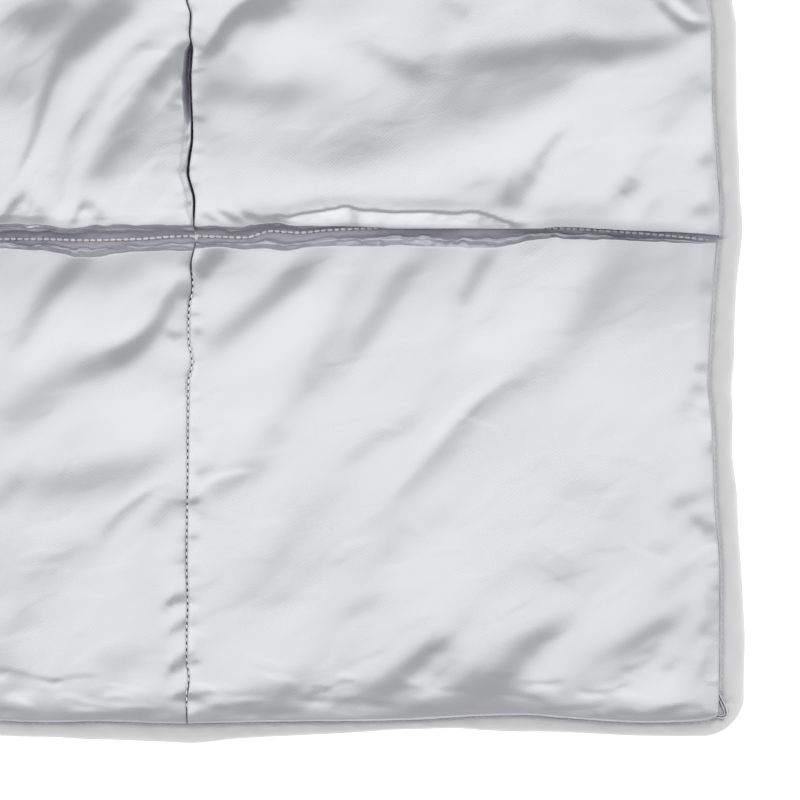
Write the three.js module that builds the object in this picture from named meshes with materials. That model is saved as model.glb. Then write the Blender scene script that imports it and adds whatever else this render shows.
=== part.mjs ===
import * as THREE from 'three';

// A quilted satin duvet lying flat, sewn into five by eight chambers, with a matt band round its
// edge. Millimetres, +Z up. The origin is under its middle, on the surface that it lies on. Front
// is -Y. The fine corner, at +X and -Y, has its own drawn-in sides, wandering seams and folds.

// Driving dimensions
const COLUMNS = 5;
const ROWS = 8;
const CHAMBER_WIDTH = 271;
const CHAMBER_LENGTH = 247;
const CROWN_HEIGHT = 32;
const CROWN_SPREAD = 1.5;
const SEAM_TOP = 10;
const SEAM_UNDERSIDE = 6;
const EDGE_TOP = 8.5;
const EDGE_UNDERSIDE = 0.8;
const EDGE_SLOPE = 60;
const DRAWN_IN = 4.6;
const SIDE_BAND_REACH = 12.5;
const END_BAND_REACH = 9.8;
const END_BAND_MIDDLE_REACH = 5.4;
const BAND_HEIGHT = 9;
const BAND_CLEARANCE = 0.3;

// How finely the cloth is divided
const FINE_CHAMBERS = 2;
const FINE_STEPS = 16;
const COARSE_STEPS = 5;
const FIRST_GRID_LINE = 0.035;
const UNDERSIDE_FLAT = [0.14, 0.86];
const BAND_CORNER_STEPS = 6;

// How far the satin's edge is drawn in, by the distance from the fine corner
const RIGHT_EDGE = [
  { along: 0, inward: 0 }, { along: 77, inward: 0 }, { along: 113, inward: 2.6 },
  { along: 154, inward: 4.1 }, { along: 175, inward: 6.2 }, { along: 216, inward: 4.1 },
  { along: 247, inward: 0 }, { along: 288, inward: 1.7 }, { along: 318, inward: 3.8 },
  { along: 371, inward: 5.2 }, { along: 494, inward: 0 },
];
const FRONT_EDGE = [
  { along: 0, inward: 0 }, { along: 40, inward: 0.6 }, { along: 81, inward: 3.2 },
  { along: 102, inward: 4.7 }, { along: 137, inward: 3.4 }, { along: 245, inward: 0.8 },
  { along: 271, inward: 0 }, { along: 317, inward: 1.4 }, { along: 368, inward: 2 },
  { along: 406, inward: 3.6 }, { along: 542, inward: 0 },
];

// How far the band shows past the satin on the front edge, where it rolls under
const FRONT_BAND = [
  { along: 0, reach: 9.4 }, { along: 40, reach: 6 }, { along: 102, reach: 8.5 },
  { along: 137, reach: 5.4 }, { along: 163, reach: 4.8 }, { along: 214, reach: 6.4 },
  { along: 271, reach: 9.8 }, { along: 317, reach: 9 }, { along: 350, reach: 7.1 },
  { along: 406, reach: 5.4 }, { along: 542, reach: 9.8 },
];

// How far the two seams that cross in the fine corner wander off a straight line
const LONG_SEAM = [
  { along: 0, aside: 0 }, { along: 120, aside: -0.6 }, { along: 185, aside: 0.4 },
  { along: 247, aside: 4 }, { along: 275, aside: 1.2 }, { along: 345, aside: 2.6 },
  { along: 371, aside: -1 }, { along: 494, aside: 0 },
];
const CROSS_SEAM = [
  { along: 0, aside: 0 }, { along: 40, aside: 1.6 }, { along: 80, aside: 3.4 },
  { along: 173, aside: 4.4 }, { along: 236, aside: 2 }, { along: 271, aside: 0.5 },
  { along: 340, aside: -1 }, { along: 542, aside: 0 },
];

// Main folds at the fine corner. Each path is given left of and up from that corner of the satin.
// A rise below zero is a trough.
const FOLDS = [
  { name: 'left ridge', rise: 5, halfWidth: 10, path: [[293, 359], [335, 310], [366, 258]] },
  { name: 'right ridge', rise: 5, halfWidth: 9, path: [[276, 349], [313, 312], [334, 259]] },
  { name: 'valley by the ridges', rise: -6, halfWidth: 10, path: [[309, 370], [331, 341], [345, 313]] },
  { name: 'fold at the tack', rise: -7, halfWidth: 10, path: [[266, 341], [253, 357], [221, 370]] },
  { name: 'broad fold to the edge', rise: -9, halfWidth: 16, path: [[127, 336], [71, 342], [7, 357]] },
  { name: 'fold above the seam', rise: -5, halfWidth: 9, path: [[77, 305], [96, 276], [106, 260]] },
  { name: 'soft hollow', rise: -3, halfWidth: 14, path: [[240, 285], [194, 288], [143, 306]] },
  { name: 'short diagonal', rise: -5, halfWidth: 9, path: [[327, 237], [352, 212], [366, 184]] },
  { name: 'long diagonal', rise: -7, halfWidth: 12, path: [[273, 220], [304, 191], [368, 151]] },
  { name: 'middle hollow', rise: -4, halfWidth: 10, path: [[274, 146], [313, 131], [368, 113]] },
  { name: 'lower hollow', rise: -3, halfWidth: 9, path: [[282, 119], [306, 108], [340, 80]] },
  { name: 'first slant', rise: -7, halfWidth: 11, path: [[267, 183], [231, 218], [201, 236]] },
  { name: 'second slant', rise: -5, halfWidth: 13, path: [[147, 237], [182, 196], [225, 155], [251, 120]] },
  { name: 'third slant', rise: -6, halfWidth: 12, path: [[59, 235], [74, 203], [126, 160], [169, 120]] },
  { name: 'fourth slant', rise: -3, halfWidth: 10, path: [[117, 238], [143, 203]] },
  { name: 'fold at the front', rise: -5, halfWidth: 11, path: [[72, 54], [107, 31], [119, 11]] },
  { name: 'second front fold', rise: -5, halfWidth: 10, path: [[144, 44], [163, 12]] },
  { name: 'fold at the corner', rise: -4, halfWidth: 9, path: [[20, 54], [63, 27]] },
  { name: 'curved hollow', rise: -3, halfWidth: 10, path: [[119, 58], [90, 82], [53, 71]] },
];

// Worked out from the driving dimensions
const HALF_WIDTH = COLUMNS * CHAMBER_WIDTH / 2;
const HALF_LENGTH = ROWS * CHAMBER_LENGTH / 2;
const FINE_COLUMN = COLUMNS - FINE_CHAMBERS;

// Smooth step from 0 to 1 as a value goes from one bound to the other
function smoothStep(from, to, value) {
  const t = Math.min(1, Math.max(0, (value - from) / (to - from)));
  return t * t * (3 - 2 * t);
}

// Reads a column of a table at a distance, easing from row to row
function readTable(rows, column, along) {
  const next = rows.findIndex((row) => row.along >= along);
  if (next < 1) {
    return rows.at(next)[column];
  }
  const ease = smoothStep(rows[next - 1].along, rows[next].along, along);
  return rows[next - 1][column] + (rows[next][column] - rows[next - 1][column]) * ease;
}

// Half-waves that are 0 at each seam end and 1 half way between
function betweenSeams(along, pitch) {
  return Math.sin(Math.PI * along / pitch) ** 2;
}

// Plan lines from front to back: the left edge, the inner seams and the right edge
function longLineX(line, y) {
  const along = y + HALF_LENGTH;
  const straight = line * CHAMBER_WIDTH - HALF_WIDTH;
  if (line === 0) {
    return straight + DRAWN_IN * betweenSeams(along, CHAMBER_LENGTH);
  }
  if (line === COLUMNS) {
    const inTable = along < RIGHT_EDGE.at(-1).along;
    const inward = DRAWN_IN * betweenSeams(along, CHAMBER_LENGTH);
    return straight - (inTable ? readTable(RIGHT_EDGE, 'inward', along) : inward);
  }
  const wanders = line === COLUMNS - 1 && along < LONG_SEAM.at(-1).along;
  return straight + (wanders ? readTable(LONG_SEAM, 'aside', along) : 0);
}

// Plan lines from side to side: the front edge, the inner seams and the back edge
function crossLineY(line, x) {
  const along = HALF_WIDTH - x;
  const straight = line * CHAMBER_LENGTH - HALF_LENGTH;
  if (line === ROWS) {
    return straight - DRAWN_IN * betweenSeams(along, CHAMBER_WIDTH);
  }
  if (line === 0) {
    const inTable = along < FRONT_EDGE.at(-1).along;
    const inward = DRAWN_IN * betweenSeams(along, CHAMBER_WIDTH);
    return straight + (inTable ? readTable(FRONT_EDGE, 'inward', along) : inward);
  }
  const wanders = line === 1 && along < CROSS_SEAM.at(-1).along;
  return straight + (wanders ? readTable(CROSS_SEAM, 'aside', along) : 0);
}

// Where a long line and a cross line meet
function crossing(column, row) {
  const y = crossLineY(row, column * CHAMBER_WIDTH - HALF_WIDTH);
  return { x: longLineX(column, y), y };
}

// Plan position on a line between two crossings, at t from 0 to 1
function onLongLine(column, row, t) {
  const y = THREE.MathUtils.lerp(crossing(column, row).y, crossing(column, row + 1).y, t);
  return { x: longLineX(column, y), y };
}

function onCrossLine(column, row, t) {
  const x = THREE.MathUtils.lerp(crossing(column, row).x, crossing(column + 1, row).x, t);
  return { x, y: crossLineY(row, x) };
}

// Plan position inside a chamber, blended from its four sides
function insideChamber(column, row, u, v) {
  const place = {};
  const front = onCrossLine(column, row, u);
  const back = onCrossLine(column, row + 1, u);
  const left = onLongLine(column, row, v);
  const right = onLongLine(column + 1, row, v);
  for (const axis of ['x', 'y']) {
    const corners = (1 - u) * (1 - v) * crossing(column, row)[axis]
      + u * (1 - v) * crossing(column + 1, row)[axis]
      + (1 - u) * v * crossing(column, row + 1)[axis]
      + u * v * crossing(column + 1, row + 1)[axis];
    place[axis] = (1 - v) * front[axis] + v * back[axis]
      + (1 - u) * left[axis] + u * right[axis] - corners;
  }
  return place;
}

// Distance from a place to a path, and how far along the path it is from the nearer end
function measurePath(path, left, up) {
  const place = new THREE.Vector2(left, up);
  let distance = Infinity;
  let travelled = 0;
  let reached = 0;
  for (let i = 1; i < path.length; i++) {
    const start = new THREE.Vector2(...path[i - 1]);
    const step = new THREE.Vector2(...path[i]).sub(start);
    const t = THREE.MathUtils.clamp(place.clone().sub(start).dot(step) / step.lengthSq(), 0, 1);
    const gap = start.addScaledVector(step, t).distanceTo(place);
    if (gap < distance) {
      distance = gap;
      reached = travelled + step.length() * t;
    }
    travelled += step.length();
  }
  return { distance, fromEnd: Math.min(reached, travelled - reached) };
}

// Height that the folds add at a place in plan
function foldHeight(x, y) {
  let height = 0;
  for (const { rise, halfWidth, path } of FOLDS) {
    const { distance, fromEnd } = measurePath(path, HALF_WIDTH - x, y + HALF_LENGTH);
    const ends = (1 + smoothStep(0, 2 * halfWidth, fromEnd)) / 2;
    height += rise * ends * Math.exp(-((distance / halfWidth) ** 2));
  }
  return height;
}

// Level of the seams on top, which come down towards the edge
function seamLevel({ x, y }) {
  const toEdge = Math.min(HALF_WIDTH - Math.abs(x), HALF_LENGTH - Math.abs(y));
  return THREE.MathUtils.lerp(EDGE_TOP, SEAM_TOP, smoothStep(0, EDGE_SLOPE, toEdge));
}

// Filled cross-section between two seams, from 0 at a seam to 1 at the crown
function fullness(t) {
  return Math.sqrt(1 - Math.abs(2 * t - 1) ** 3);
}

// Top of a filled chamber: its crown, with its folds fading out at the seams
function chamberTop(column, row, u, v) {
  const place = insideChamber(column, row, u, v);
  const filled = fullness(u) * fullness(v);
  const level = seamLevel(place);
  const crown = CROWN_HEIGHT + CROWN_SPREAD * Math.sin(column * 2 + row * 3);
  return level + (crown - level + foldHeight(place.x, place.y)) * filled;
}

// Collects the corners and triangles of one closed body
class ClothBuilder {
  positions = [];

  triangles = [];

  point(x, y, z) {
    this.positions.push(x, y, z);
    return this.positions.length / 3 - 1;
  }

  triangle(a, b, c) {
    if (a !== b && b !== c && c !== a) {
      this.triangles.push(a, b, c);
    }
  }

  quad(a, b, c, d) {
    this.triangle(a, b, c);
    this.triangle(a, c, d);
  }

  // Bridges two rows that run the same way, the second one on the left of the first when it is
  // seen from outside. A row lists { id, t } with t from 0 to 1 along it.
  bridge(first, second) {
    let i = 0;
    let j = 0;
    while (i < first.length - 1 || j < second.length - 1) {
      const firstNext = i < first.length - 1 ? first[i + 1].t : Infinity;
      const secondNext = j < second.length - 1 ? second[j + 1].t : Infinity;
      if (firstNext <= secondNext) {
        this.triangle(first[i].id, first[i + 1].id, second[j].id);
        i += 1;
      } else {
        this.triangle(first[i].id, second[j + 1].id, second[j].id);
        j += 1;
      }
    }
  }

  geometry() {
    const geometry = new THREE.BufferGeometry();
    geometry.setAttribute('position', new THREE.Float32BufferAttribute(this.positions, 3));
    geometry.setIndex(this.triangles);
    geometry.computeVertexNormals();
    return geometry;
  }
}

// A row seen from its other end
function turned(row) {
  return row.map(({ id, t }) => ({ id, t: 1 - t })).reverse();
}

// True for the chambers at the fine corner
function isFine(column, row) {
  return column >= FINE_COLUMN && column < COLUMNS && row >= 0 && row < FINE_CHAMBERS;
}

// Grid lines inside a chamber, the first and last close to its seams
function gridLines(fine) {
  const steps = fine ? FINE_STEPS : COARSE_STEPS;
  const lines = [FIRST_GRID_LINE];
  for (let i = 1; i < steps; i++) {
    lines.push(i / steps);
  }
  lines.push(1 - FIRST_GRID_LINE);
  return lines;
}

// The seams on top as rows of points that neighbouring chambers share
class SeamNet {
  constructor(cloth) {
    this.cloth = cloth;
    this.crossings = new Map();
    this.rows = new Map();
  }

  crossingPoint(column, row) {
    const key = `${column} ${row}`;
    if (!this.crossings.has(key)) {
      const place = crossing(column, row);
      this.crossings.set(key, this.cloth.point(place.x, place.y, seamLevel(place)));
    }
    return this.crossings.get(key);
  }

  // The row on a long or cross line between two crossings
  row(kind, column, row) {
    const key = `${kind} ${column} ${row}`;
    if (!this.rows.has(key)) {
      const isLong = kind === 'long';
      const fine = isFine(column, row) || (isLong ? isFine(column - 1, row) : isFine(column, row - 1));
      const steps = fine ? FINE_STEPS : COARSE_STEPS;
      const points = [{ id: this.crossingPoint(column, row), t: 0 }];
      for (let i = 1; i < steps; i++) {
        const t = i / steps;
        const place = isLong ? onLongLine(column, row, t) : onCrossLine(column, row, t);
        points.push({ id: this.cloth.point(place.x, place.y, seamLevel(place)), t });
      }
      const end = isLong ? this.crossingPoint(column, row + 1) : this.crossingPoint(column + 1, row);
      points.push({ id: end, t: 1 });
      this.rows.set(key, points);
    }
    return this.rows.get(key);
  }
}

// Fills one chamber's top between its seams
function addChamber(cloth, seams, column, row) {
  const lines = gridLines(isFine(column, row));
  const last = lines.length - 1;
  const grid = lines.map((v) => lines.map((u) => {
    const { x, y } = insideChamber(column, row, u, v);
    return { id: cloth.point(x, y, chamberTop(column, row, u, v)), u, v };
  }));
  for (let j = 0; j < last; j++) {
    for (let i = 0; i < last; i++) {
      cloth.quad(grid[j][i].id, grid[j][i + 1].id, grid[j + 1][i + 1].id, grid[j + 1][i].id);
    }
  }
  const frontRow = grid[0].map(({ id, u }) => ({ id, t: u }));
  const backRow = grid[last].map(({ id, u }) => ({ id, t: u }));
  const leftRow = grid.map((line) => ({ id: line[0].id, t: line[0].v }));
  const rightRow = grid.map((line) => ({ id: line[last].id, t: line[last].v }));
  cloth.bridge(seams.row('cross', column, row), frontRow);
  cloth.bridge(seams.row('long', column + 1, row), rightRow);
  cloth.bridge(turned(seams.row('cross', column, row + 1)), turned(backRow));
  cloth.bridge(turned(seams.row('long', column, row)), turned(leftRow));
}

// The satin's edge on top, counter-clockwise from above: four sides, each a row of points
function edgeSides(seams) {
  const sides = [[], [], [], []];
  for (let column = 0; column < COLUMNS; column++) {
    sides[0].push(seams.row('cross', column, 0));
    sides[2].unshift(turned(seams.row('cross', column, ROWS)));
  }
  for (let row = 0; row < ROWS; row++) {
    sides[1].push(seams.row('long', COLUMNS, row));
    sides[3].unshift(turned(seams.row('long', 0, row)));
  }
  return sides.map((parts) => parts.flatMap((part, index) => part
    .slice(index === 0 ? 0 : 1)
    .map(({ id, t }) => ({ id, t: (index + t) / parts.length }))));
}

// Lines of the underside's grid inside the edge, in chambers from one end
function undersideLines(count) {
  const lines = [];
  for (let chamber = 0; chamber < count; chamber++) {
    if (chamber > 0) {
      lines.push({ place: chamber, onSeam: true });
    }
    for (const flat of UNDERSIDE_FLAT) {
      lines.push({ place: chamber + flat, onSeam: false });
    }
  }
  return lines;
}

// The underside: flat under each chamber, lifted along the seams
function addUnderside(cloth, rim) {
  const across = undersideLines(COLUMNS);
  const along = undersideLines(ROWS);
  const grid = along.map((lineY) => across.map((lineX) => {
    const height = lineX.onSeam || lineY.onSeam ? SEAM_UNDERSIDE : 0;
    const x = lineX.place * CHAMBER_WIDTH - HALF_WIDTH;
    return cloth.point(x, lineY.place * CHAMBER_LENGTH - HALF_LENGTH, height);
  }));
  const lastX = across.length - 1;
  const lastY = along.length - 1;
  for (let j = 0; j < lastY; j++) {
    for (let i = 0; i < lastX; i++) {
      cloth.quad(grid[j][i], grid[j + 1][i], grid[j + 1][i + 1], grid[j][i + 1]);
    }
  }
  const inner = [
    across.map(({ place }, i) => ({ id: grid[0][i], t: place / COLUMNS })),
    along.map(({ place }, j) => ({ id: grid[j][lastX], t: place / ROWS })),
    turned(across.map(({ place }, i) => ({ id: grid[lastY][i], t: place / COLUMNS }))),
    turned(along.map(({ place }, j) => ({ id: grid[j][0], t: place / ROWS }))),
  ];
  rim.forEach((side, index) => cloth.bridge(turned(side), turned(inner[index])));
}

// The filled body: chambers on top, a low wall round the edge, and the underside
function quiltedBody() {
  const cloth = new ClothBuilder();
  const seams = new SeamNet(cloth);
  for (let row = 0; row < ROWS; row++) {
    for (let column = 0; column < COLUMNS; column++) {
      addChamber(cloth, seams, column, row);
    }
  }
  const topSides = edgeSides(seams);
  const lower = new Map();
  for (const { id } of topSides.flat()) {
    if (!lower.has(id)) {
      const [x, y] = cloth.positions.slice(3 * id, 3 * id + 2);
      lower.set(id, cloth.point(x, y, EDGE_UNDERSIDE));
    }
  }
  const rim = topSides.map((side) => side.map(({ id, t }) => ({ id: lower.get(id), t })));
  topSides.forEach((side, index) => {
    for (let i = 1; i < side.length; i++) {
      cloth.quad(rim[index][i - 1].id, rim[index][i].id, side[i].id, side[i - 1].id);
    }
  });
  addUnderside(cloth, rim);
  const outline = topSides.flatMap((side, index) => side.slice(0, -1).map(({ id }, i) => ({
    x: cloth.positions[3 * id],
    y: cloth.positions[3 * id + 1],
    side: index,
    isCorner: i === 0,
  })));
  return { geometry: cloth.geometry(), outline };
}

// How far the band reaches past the satin in plan, on a side of the outline
function bandReach({ x, side }) {
  if (side % 2 === 1) {
    return SIDE_BAND_REACH;
  }
  const along = HALF_WIDTH - x;
  if (side === 0 && along < FRONT_BAND.at(-1).along) {
    return readTable(FRONT_BAND, 'reach', along);
  }
  const middle = betweenSeams(along, CHAMBER_WIDTH);
  return THREE.MathUtils.lerp(END_BAND_REACH, END_BAND_MIDDLE_REACH, middle);
}

// The band's outer profile from its lower to its upper inner corner. Reach is a share of the
// band's reach, height a share of its height.
const BAND_PROFILE = [
  { reach: 0.8, height: 0 }, { reach: 0.97, height: 0.22 }, { reach: 1, height: 0.5 },
  { reach: 0.93, height: 0.84 }, { reach: 0.7, height: 1 },
];

// One cross-section of the band: two inner corners on the satin's side and the outer profile
function bandSection(cloth, station, inner, outward, reach) {
  const outer = BAND_PROFILE.map((row) => cloth.point(
    station.x + outward.x * reach * row.reach,
    station.y + outward.y * reach * row.reach,
    BAND_HEIGHT * row.height,
  ));
  return [inner.low, ...outer, inner.high];
}

// The band: cross-sections round the satin's outline, fanned out at its corners
function edgeBand(outline) {
  const cloth = new ClothBuilder();
  const sections = [];
  outline.forEach((station, index) => {
    const before = outline.at(index - 1);
    const after = outline[(index + 1) % outline.length];
    const normalBefore = new THREE.Vector2(station.y - before.y, before.x - station.x).normalize();
    const normalAfter = new THREE.Vector2(after.y - station.y, station.x - after.x).normalize();
    const mitre = normalBefore.clone().add(normalAfter).normalize();
    mitre.divideScalar(mitre.dot(normalAfter));
    const innerX = station.x + mitre.x * BAND_CLEARANCE;
    const innerY = station.y + mitre.y * BAND_CLEARANCE;
    const inner = { low: cloth.point(innerX, innerY, 0), high: cloth.point(innerX, innerY, BAND_HEIGHT) };
    if (!station.isCorner) {
      sections.push(bandSection(cloth, station, inner, mitre, bandReach(station)));
      return;
    }
    const reachBefore = bandReach({ ...station, side: before.side });
    for (let step = 0; step <= BAND_CORNER_STEPS; step++) {
      const share = step / BAND_CORNER_STEPS;
      const outward = normalBefore.clone().rotateAround(new THREE.Vector2(), share * Math.PI / 2);
      const reach = THREE.MathUtils.lerp(reachBefore, bandReach(station), share);
      sections.push(bandSection(cloth, station, inner, outward, reach));
    }
  });
  sections.forEach((section, index) => {
    const next = sections[(index + 1) % sections.length];
    section.forEach((id, i) => {
      const above = (i + 1) % section.length;
      cloth.quad(id, next[i], next[above], section[above]);
    });
  });
  return cloth.geometry();
}

function piece(name, geometry, material) {
  const mesh = new THREE.Mesh(geometry, material);
  mesh.name = name;
  return mesh;
}

const satin = new THREE.MeshStandardMaterial({ color: 0xb9bcc4, roughness: 0.35, metalness: 0.3 });
const mattCloth = new THREE.MeshStandardMaterial({ color: 0xcfcfcf, roughness: 0.9, metalness: 0 });

const body = quiltedBody();
const duvet = new THREE.Group();
duvet.add(piece('quilted_body', body.geometry, satin));
duvet.add(piece('edge_band', edgeBand(body.outline), mattCloth));

export default duvet;
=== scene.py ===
"""Looks of a quilted satin duvet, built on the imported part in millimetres, front at -Y."""

import logging
import math
from dataclasses import dataclass, field
from enum import Enum

import bmesh
import bpy
import numpy as np
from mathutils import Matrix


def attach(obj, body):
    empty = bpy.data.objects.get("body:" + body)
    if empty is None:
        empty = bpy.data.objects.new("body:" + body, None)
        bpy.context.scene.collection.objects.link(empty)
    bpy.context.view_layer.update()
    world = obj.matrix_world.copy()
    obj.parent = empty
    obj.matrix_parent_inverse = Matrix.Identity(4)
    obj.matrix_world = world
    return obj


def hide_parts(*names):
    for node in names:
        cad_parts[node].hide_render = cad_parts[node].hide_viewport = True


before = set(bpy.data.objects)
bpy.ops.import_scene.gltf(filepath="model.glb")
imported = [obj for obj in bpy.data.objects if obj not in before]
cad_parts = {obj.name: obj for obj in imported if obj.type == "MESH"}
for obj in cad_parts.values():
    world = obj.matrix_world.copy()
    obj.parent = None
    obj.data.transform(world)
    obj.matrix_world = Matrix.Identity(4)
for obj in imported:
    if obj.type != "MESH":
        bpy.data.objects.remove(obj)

MM = 0.001
COLUMNS = 5
ROWS = 8
CHAMBER_WIDTH = 271.0
CHAMBER_LENGTH = 247.0
HALF_WIDTH = COLUMNS * CHAMBER_WIDTH / 2
HALF_LENGTH = ROWS * CHAMBER_LENGTH / 2
CROWN = 30.0
SEAM_LEVEL = 15.0
EDGE_LEVEL = 10.0
SEAM_UNDERSIDE = 9.0
REST_LEVEL = 0.2
DRAWN_IN = 4.6
STITCH_PITCH = 3.4
WINDOW = 374.0  # how far from the fine corner the cloth is finely divided
LIP_END = 7.5  # how far from a seam its lip is before the quilt is filled
SETTLING = 14.0
SIDE_BAND = 12.5
END_BAND = 10.8
BAND_TURN = 22.3  # radius of the band's corners
BAND_OUT = (12.7, 6.9)  # how far the band goes out beside its corners
CORNER_PUSH = (0.3, 4.5)  # how far the satin's corners are drawn in
CORNER_RUN = 6.0
FRONT_ROW_DROP = 6.0  # the front chambers are filled less
PIXELS_PER_MM = 1.95  # scale of the photograph
CORNER_PIXEL = (720.5, 723.7)  # where the photograph shows the satin's fine corner
SHADE_SHARE = 0.83  # how much of a fold its shade covers
SOFTENING = 1.45  # how much wider the folds are made, because the photograph's tones are soft
THIN_SHADE = 5.0  # pixels; the folds of narrower shades are widened by less
THIN_SOFTENING = 1.25
PUCKERS = 7  # beside each seam of a plain chamber

log = logging.getLogger("duvet")
Array = np.ndarray


def ease(low: float, high: float, value: Array) -> Array:
    """Smooth step from 0 to 1.

    Args:
        low: value where the step starts.
        high: value where it ends.
        value: values to map.

    Returns:
        Values from 0 to 1.
    """
    t = np.clip((value - low) / (high - low), 0.0, 1.0)
    return t * t * (3 - 2 * t)


def lattice_noise(x: Array, y: Array, size: float, seed: int) -> Array:
    """Smooth uneven field made from random values on a square lattice.

    Args:
        x: places across in mm.
        y: places along in mm.
        size: lattice spacing in mm.
        seed: seed of the random values.

    Returns:
        Values from about -1 to 1.
    """
    table = np.random.default_rng(seed).uniform(-1.0, 1.0, (64, 64))
    gx, gy = x / size, y / size
    ix, iy = np.floor(gx).astype(int), np.floor(gy).astype(int)
    fx, fy = gx - ix, gy - iy
    fx = fx * fx * fx * (fx * (fx * 6 - 15) + 10)
    fy = fy * fy * fy * (fy * (fy * 6 - 15) + 10)

    def corner(dx: int, dy: int) -> Array:
        """Random value at a lattice corner."""
        return table[(ix + dx) % 64, (iy + dy) % 64]

    near = corner(0, 0) * (1 - fx) + corner(1, 0) * fx
    far = corner(0, 1) * (1 - fx) + corner(1, 1) * fx
    return near * (1 - fy) + far * fy


@dataclass(frozen=True)
class Course:
    """A value that changes along a line, read smoothly between its rows."""

    rows: tuple[tuple[float, float], ...]

    def at(self, along: Array) -> Array:
        """Value at distances along the line.

        Args:
            along: distances in mm.

        Returns:
            The value at each of them.
        """
        table = np.array(self.rows, float)
        if len(table) == 1:
            return np.full(np.shape(along), table[0, 1])
        x, y = table[:, 0], table[:, 1]
        steps = np.diff(y) / np.diff(x)
        before, after = np.append(steps[0], steps), np.append(steps, steps[-1])
        same = before * after > 0
        slope = np.where(same, 2 * before * after / np.where(same, before + after, 1), 0)
        a = np.clip(along, x[0], x[-1])
        i = np.clip(np.searchsorted(x, a) - 1, 0, len(x) - 2)
        width = x[i + 1] - x[i]
        t = (a - x[i]) / width
        return (
            y[i] * (1 + 2 * t) * (1 - t) ** 2
            + slope[i] * width * t * (1 - t) ** 2
            + y[i + 1] * t * t * (3 - 2 * t)
            + slope[i + 1] * width * t * t * (t - 1)
        )

    def carried_on(
        self, to: float, mean: float, spread: float, step: float, seed: int
    ) -> "Course":
        """The same course with uneven rows of its kind added after its last one.

        Args:
            to: distance that it has to reach in mm.
            mean: mean of the added values.
            spread: largest change from the mean.
            step: mean spacing of the added rows in mm.
            seed: seed of the random values.

        Returns:
            The longer course.
        """
        rng = np.random.default_rng(seed)
        rows = list(self.rows)
        place = rows[-1][0] if rows else -step
        while place < to:
            place += step * rng.uniform(0.7, 1.3)
            rows.append((place, mean + spread * rng.uniform(-1, 1)))
        return Course(tuple(rows))


class Line(Enum):
    """Which way a seam or an edge runs."""

    LONG = "long"
    CROSS = "cross"


# The cloth between the stitches and the lip, by its share of the way along the cloth: share of
# the way out, and height as a share of the middle part's height and of what is left above it
WALL_OUT = Course((
    (0, 0), (0.12, 0.22), (0.24, 0.46), (0.36, 0.53), (0.46, 0.58), (0.53, 0.65), (0.75, 0.82),
    (0.92, 0.96), (1, 1),
))
WALL_MIDDLE = Course((
    (0, 0), (0.12, 0.01), (0.24, 0.05), (0.36, 0.75), (0.46, 1.07), (0.53, 0.9), (0.7, 1), (1, 1),
))
FLAT_FLOOR = Course(((0, 0), (0.12, 0), (0.24, 0.4), (0.36, 0.94), (0.5, 1), (1, 1)))
WALL_TOP = Course(((0, 0), (0.53, 0), (0.75, 0.42), (0.92, 0.88), (1, 1)))


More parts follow.
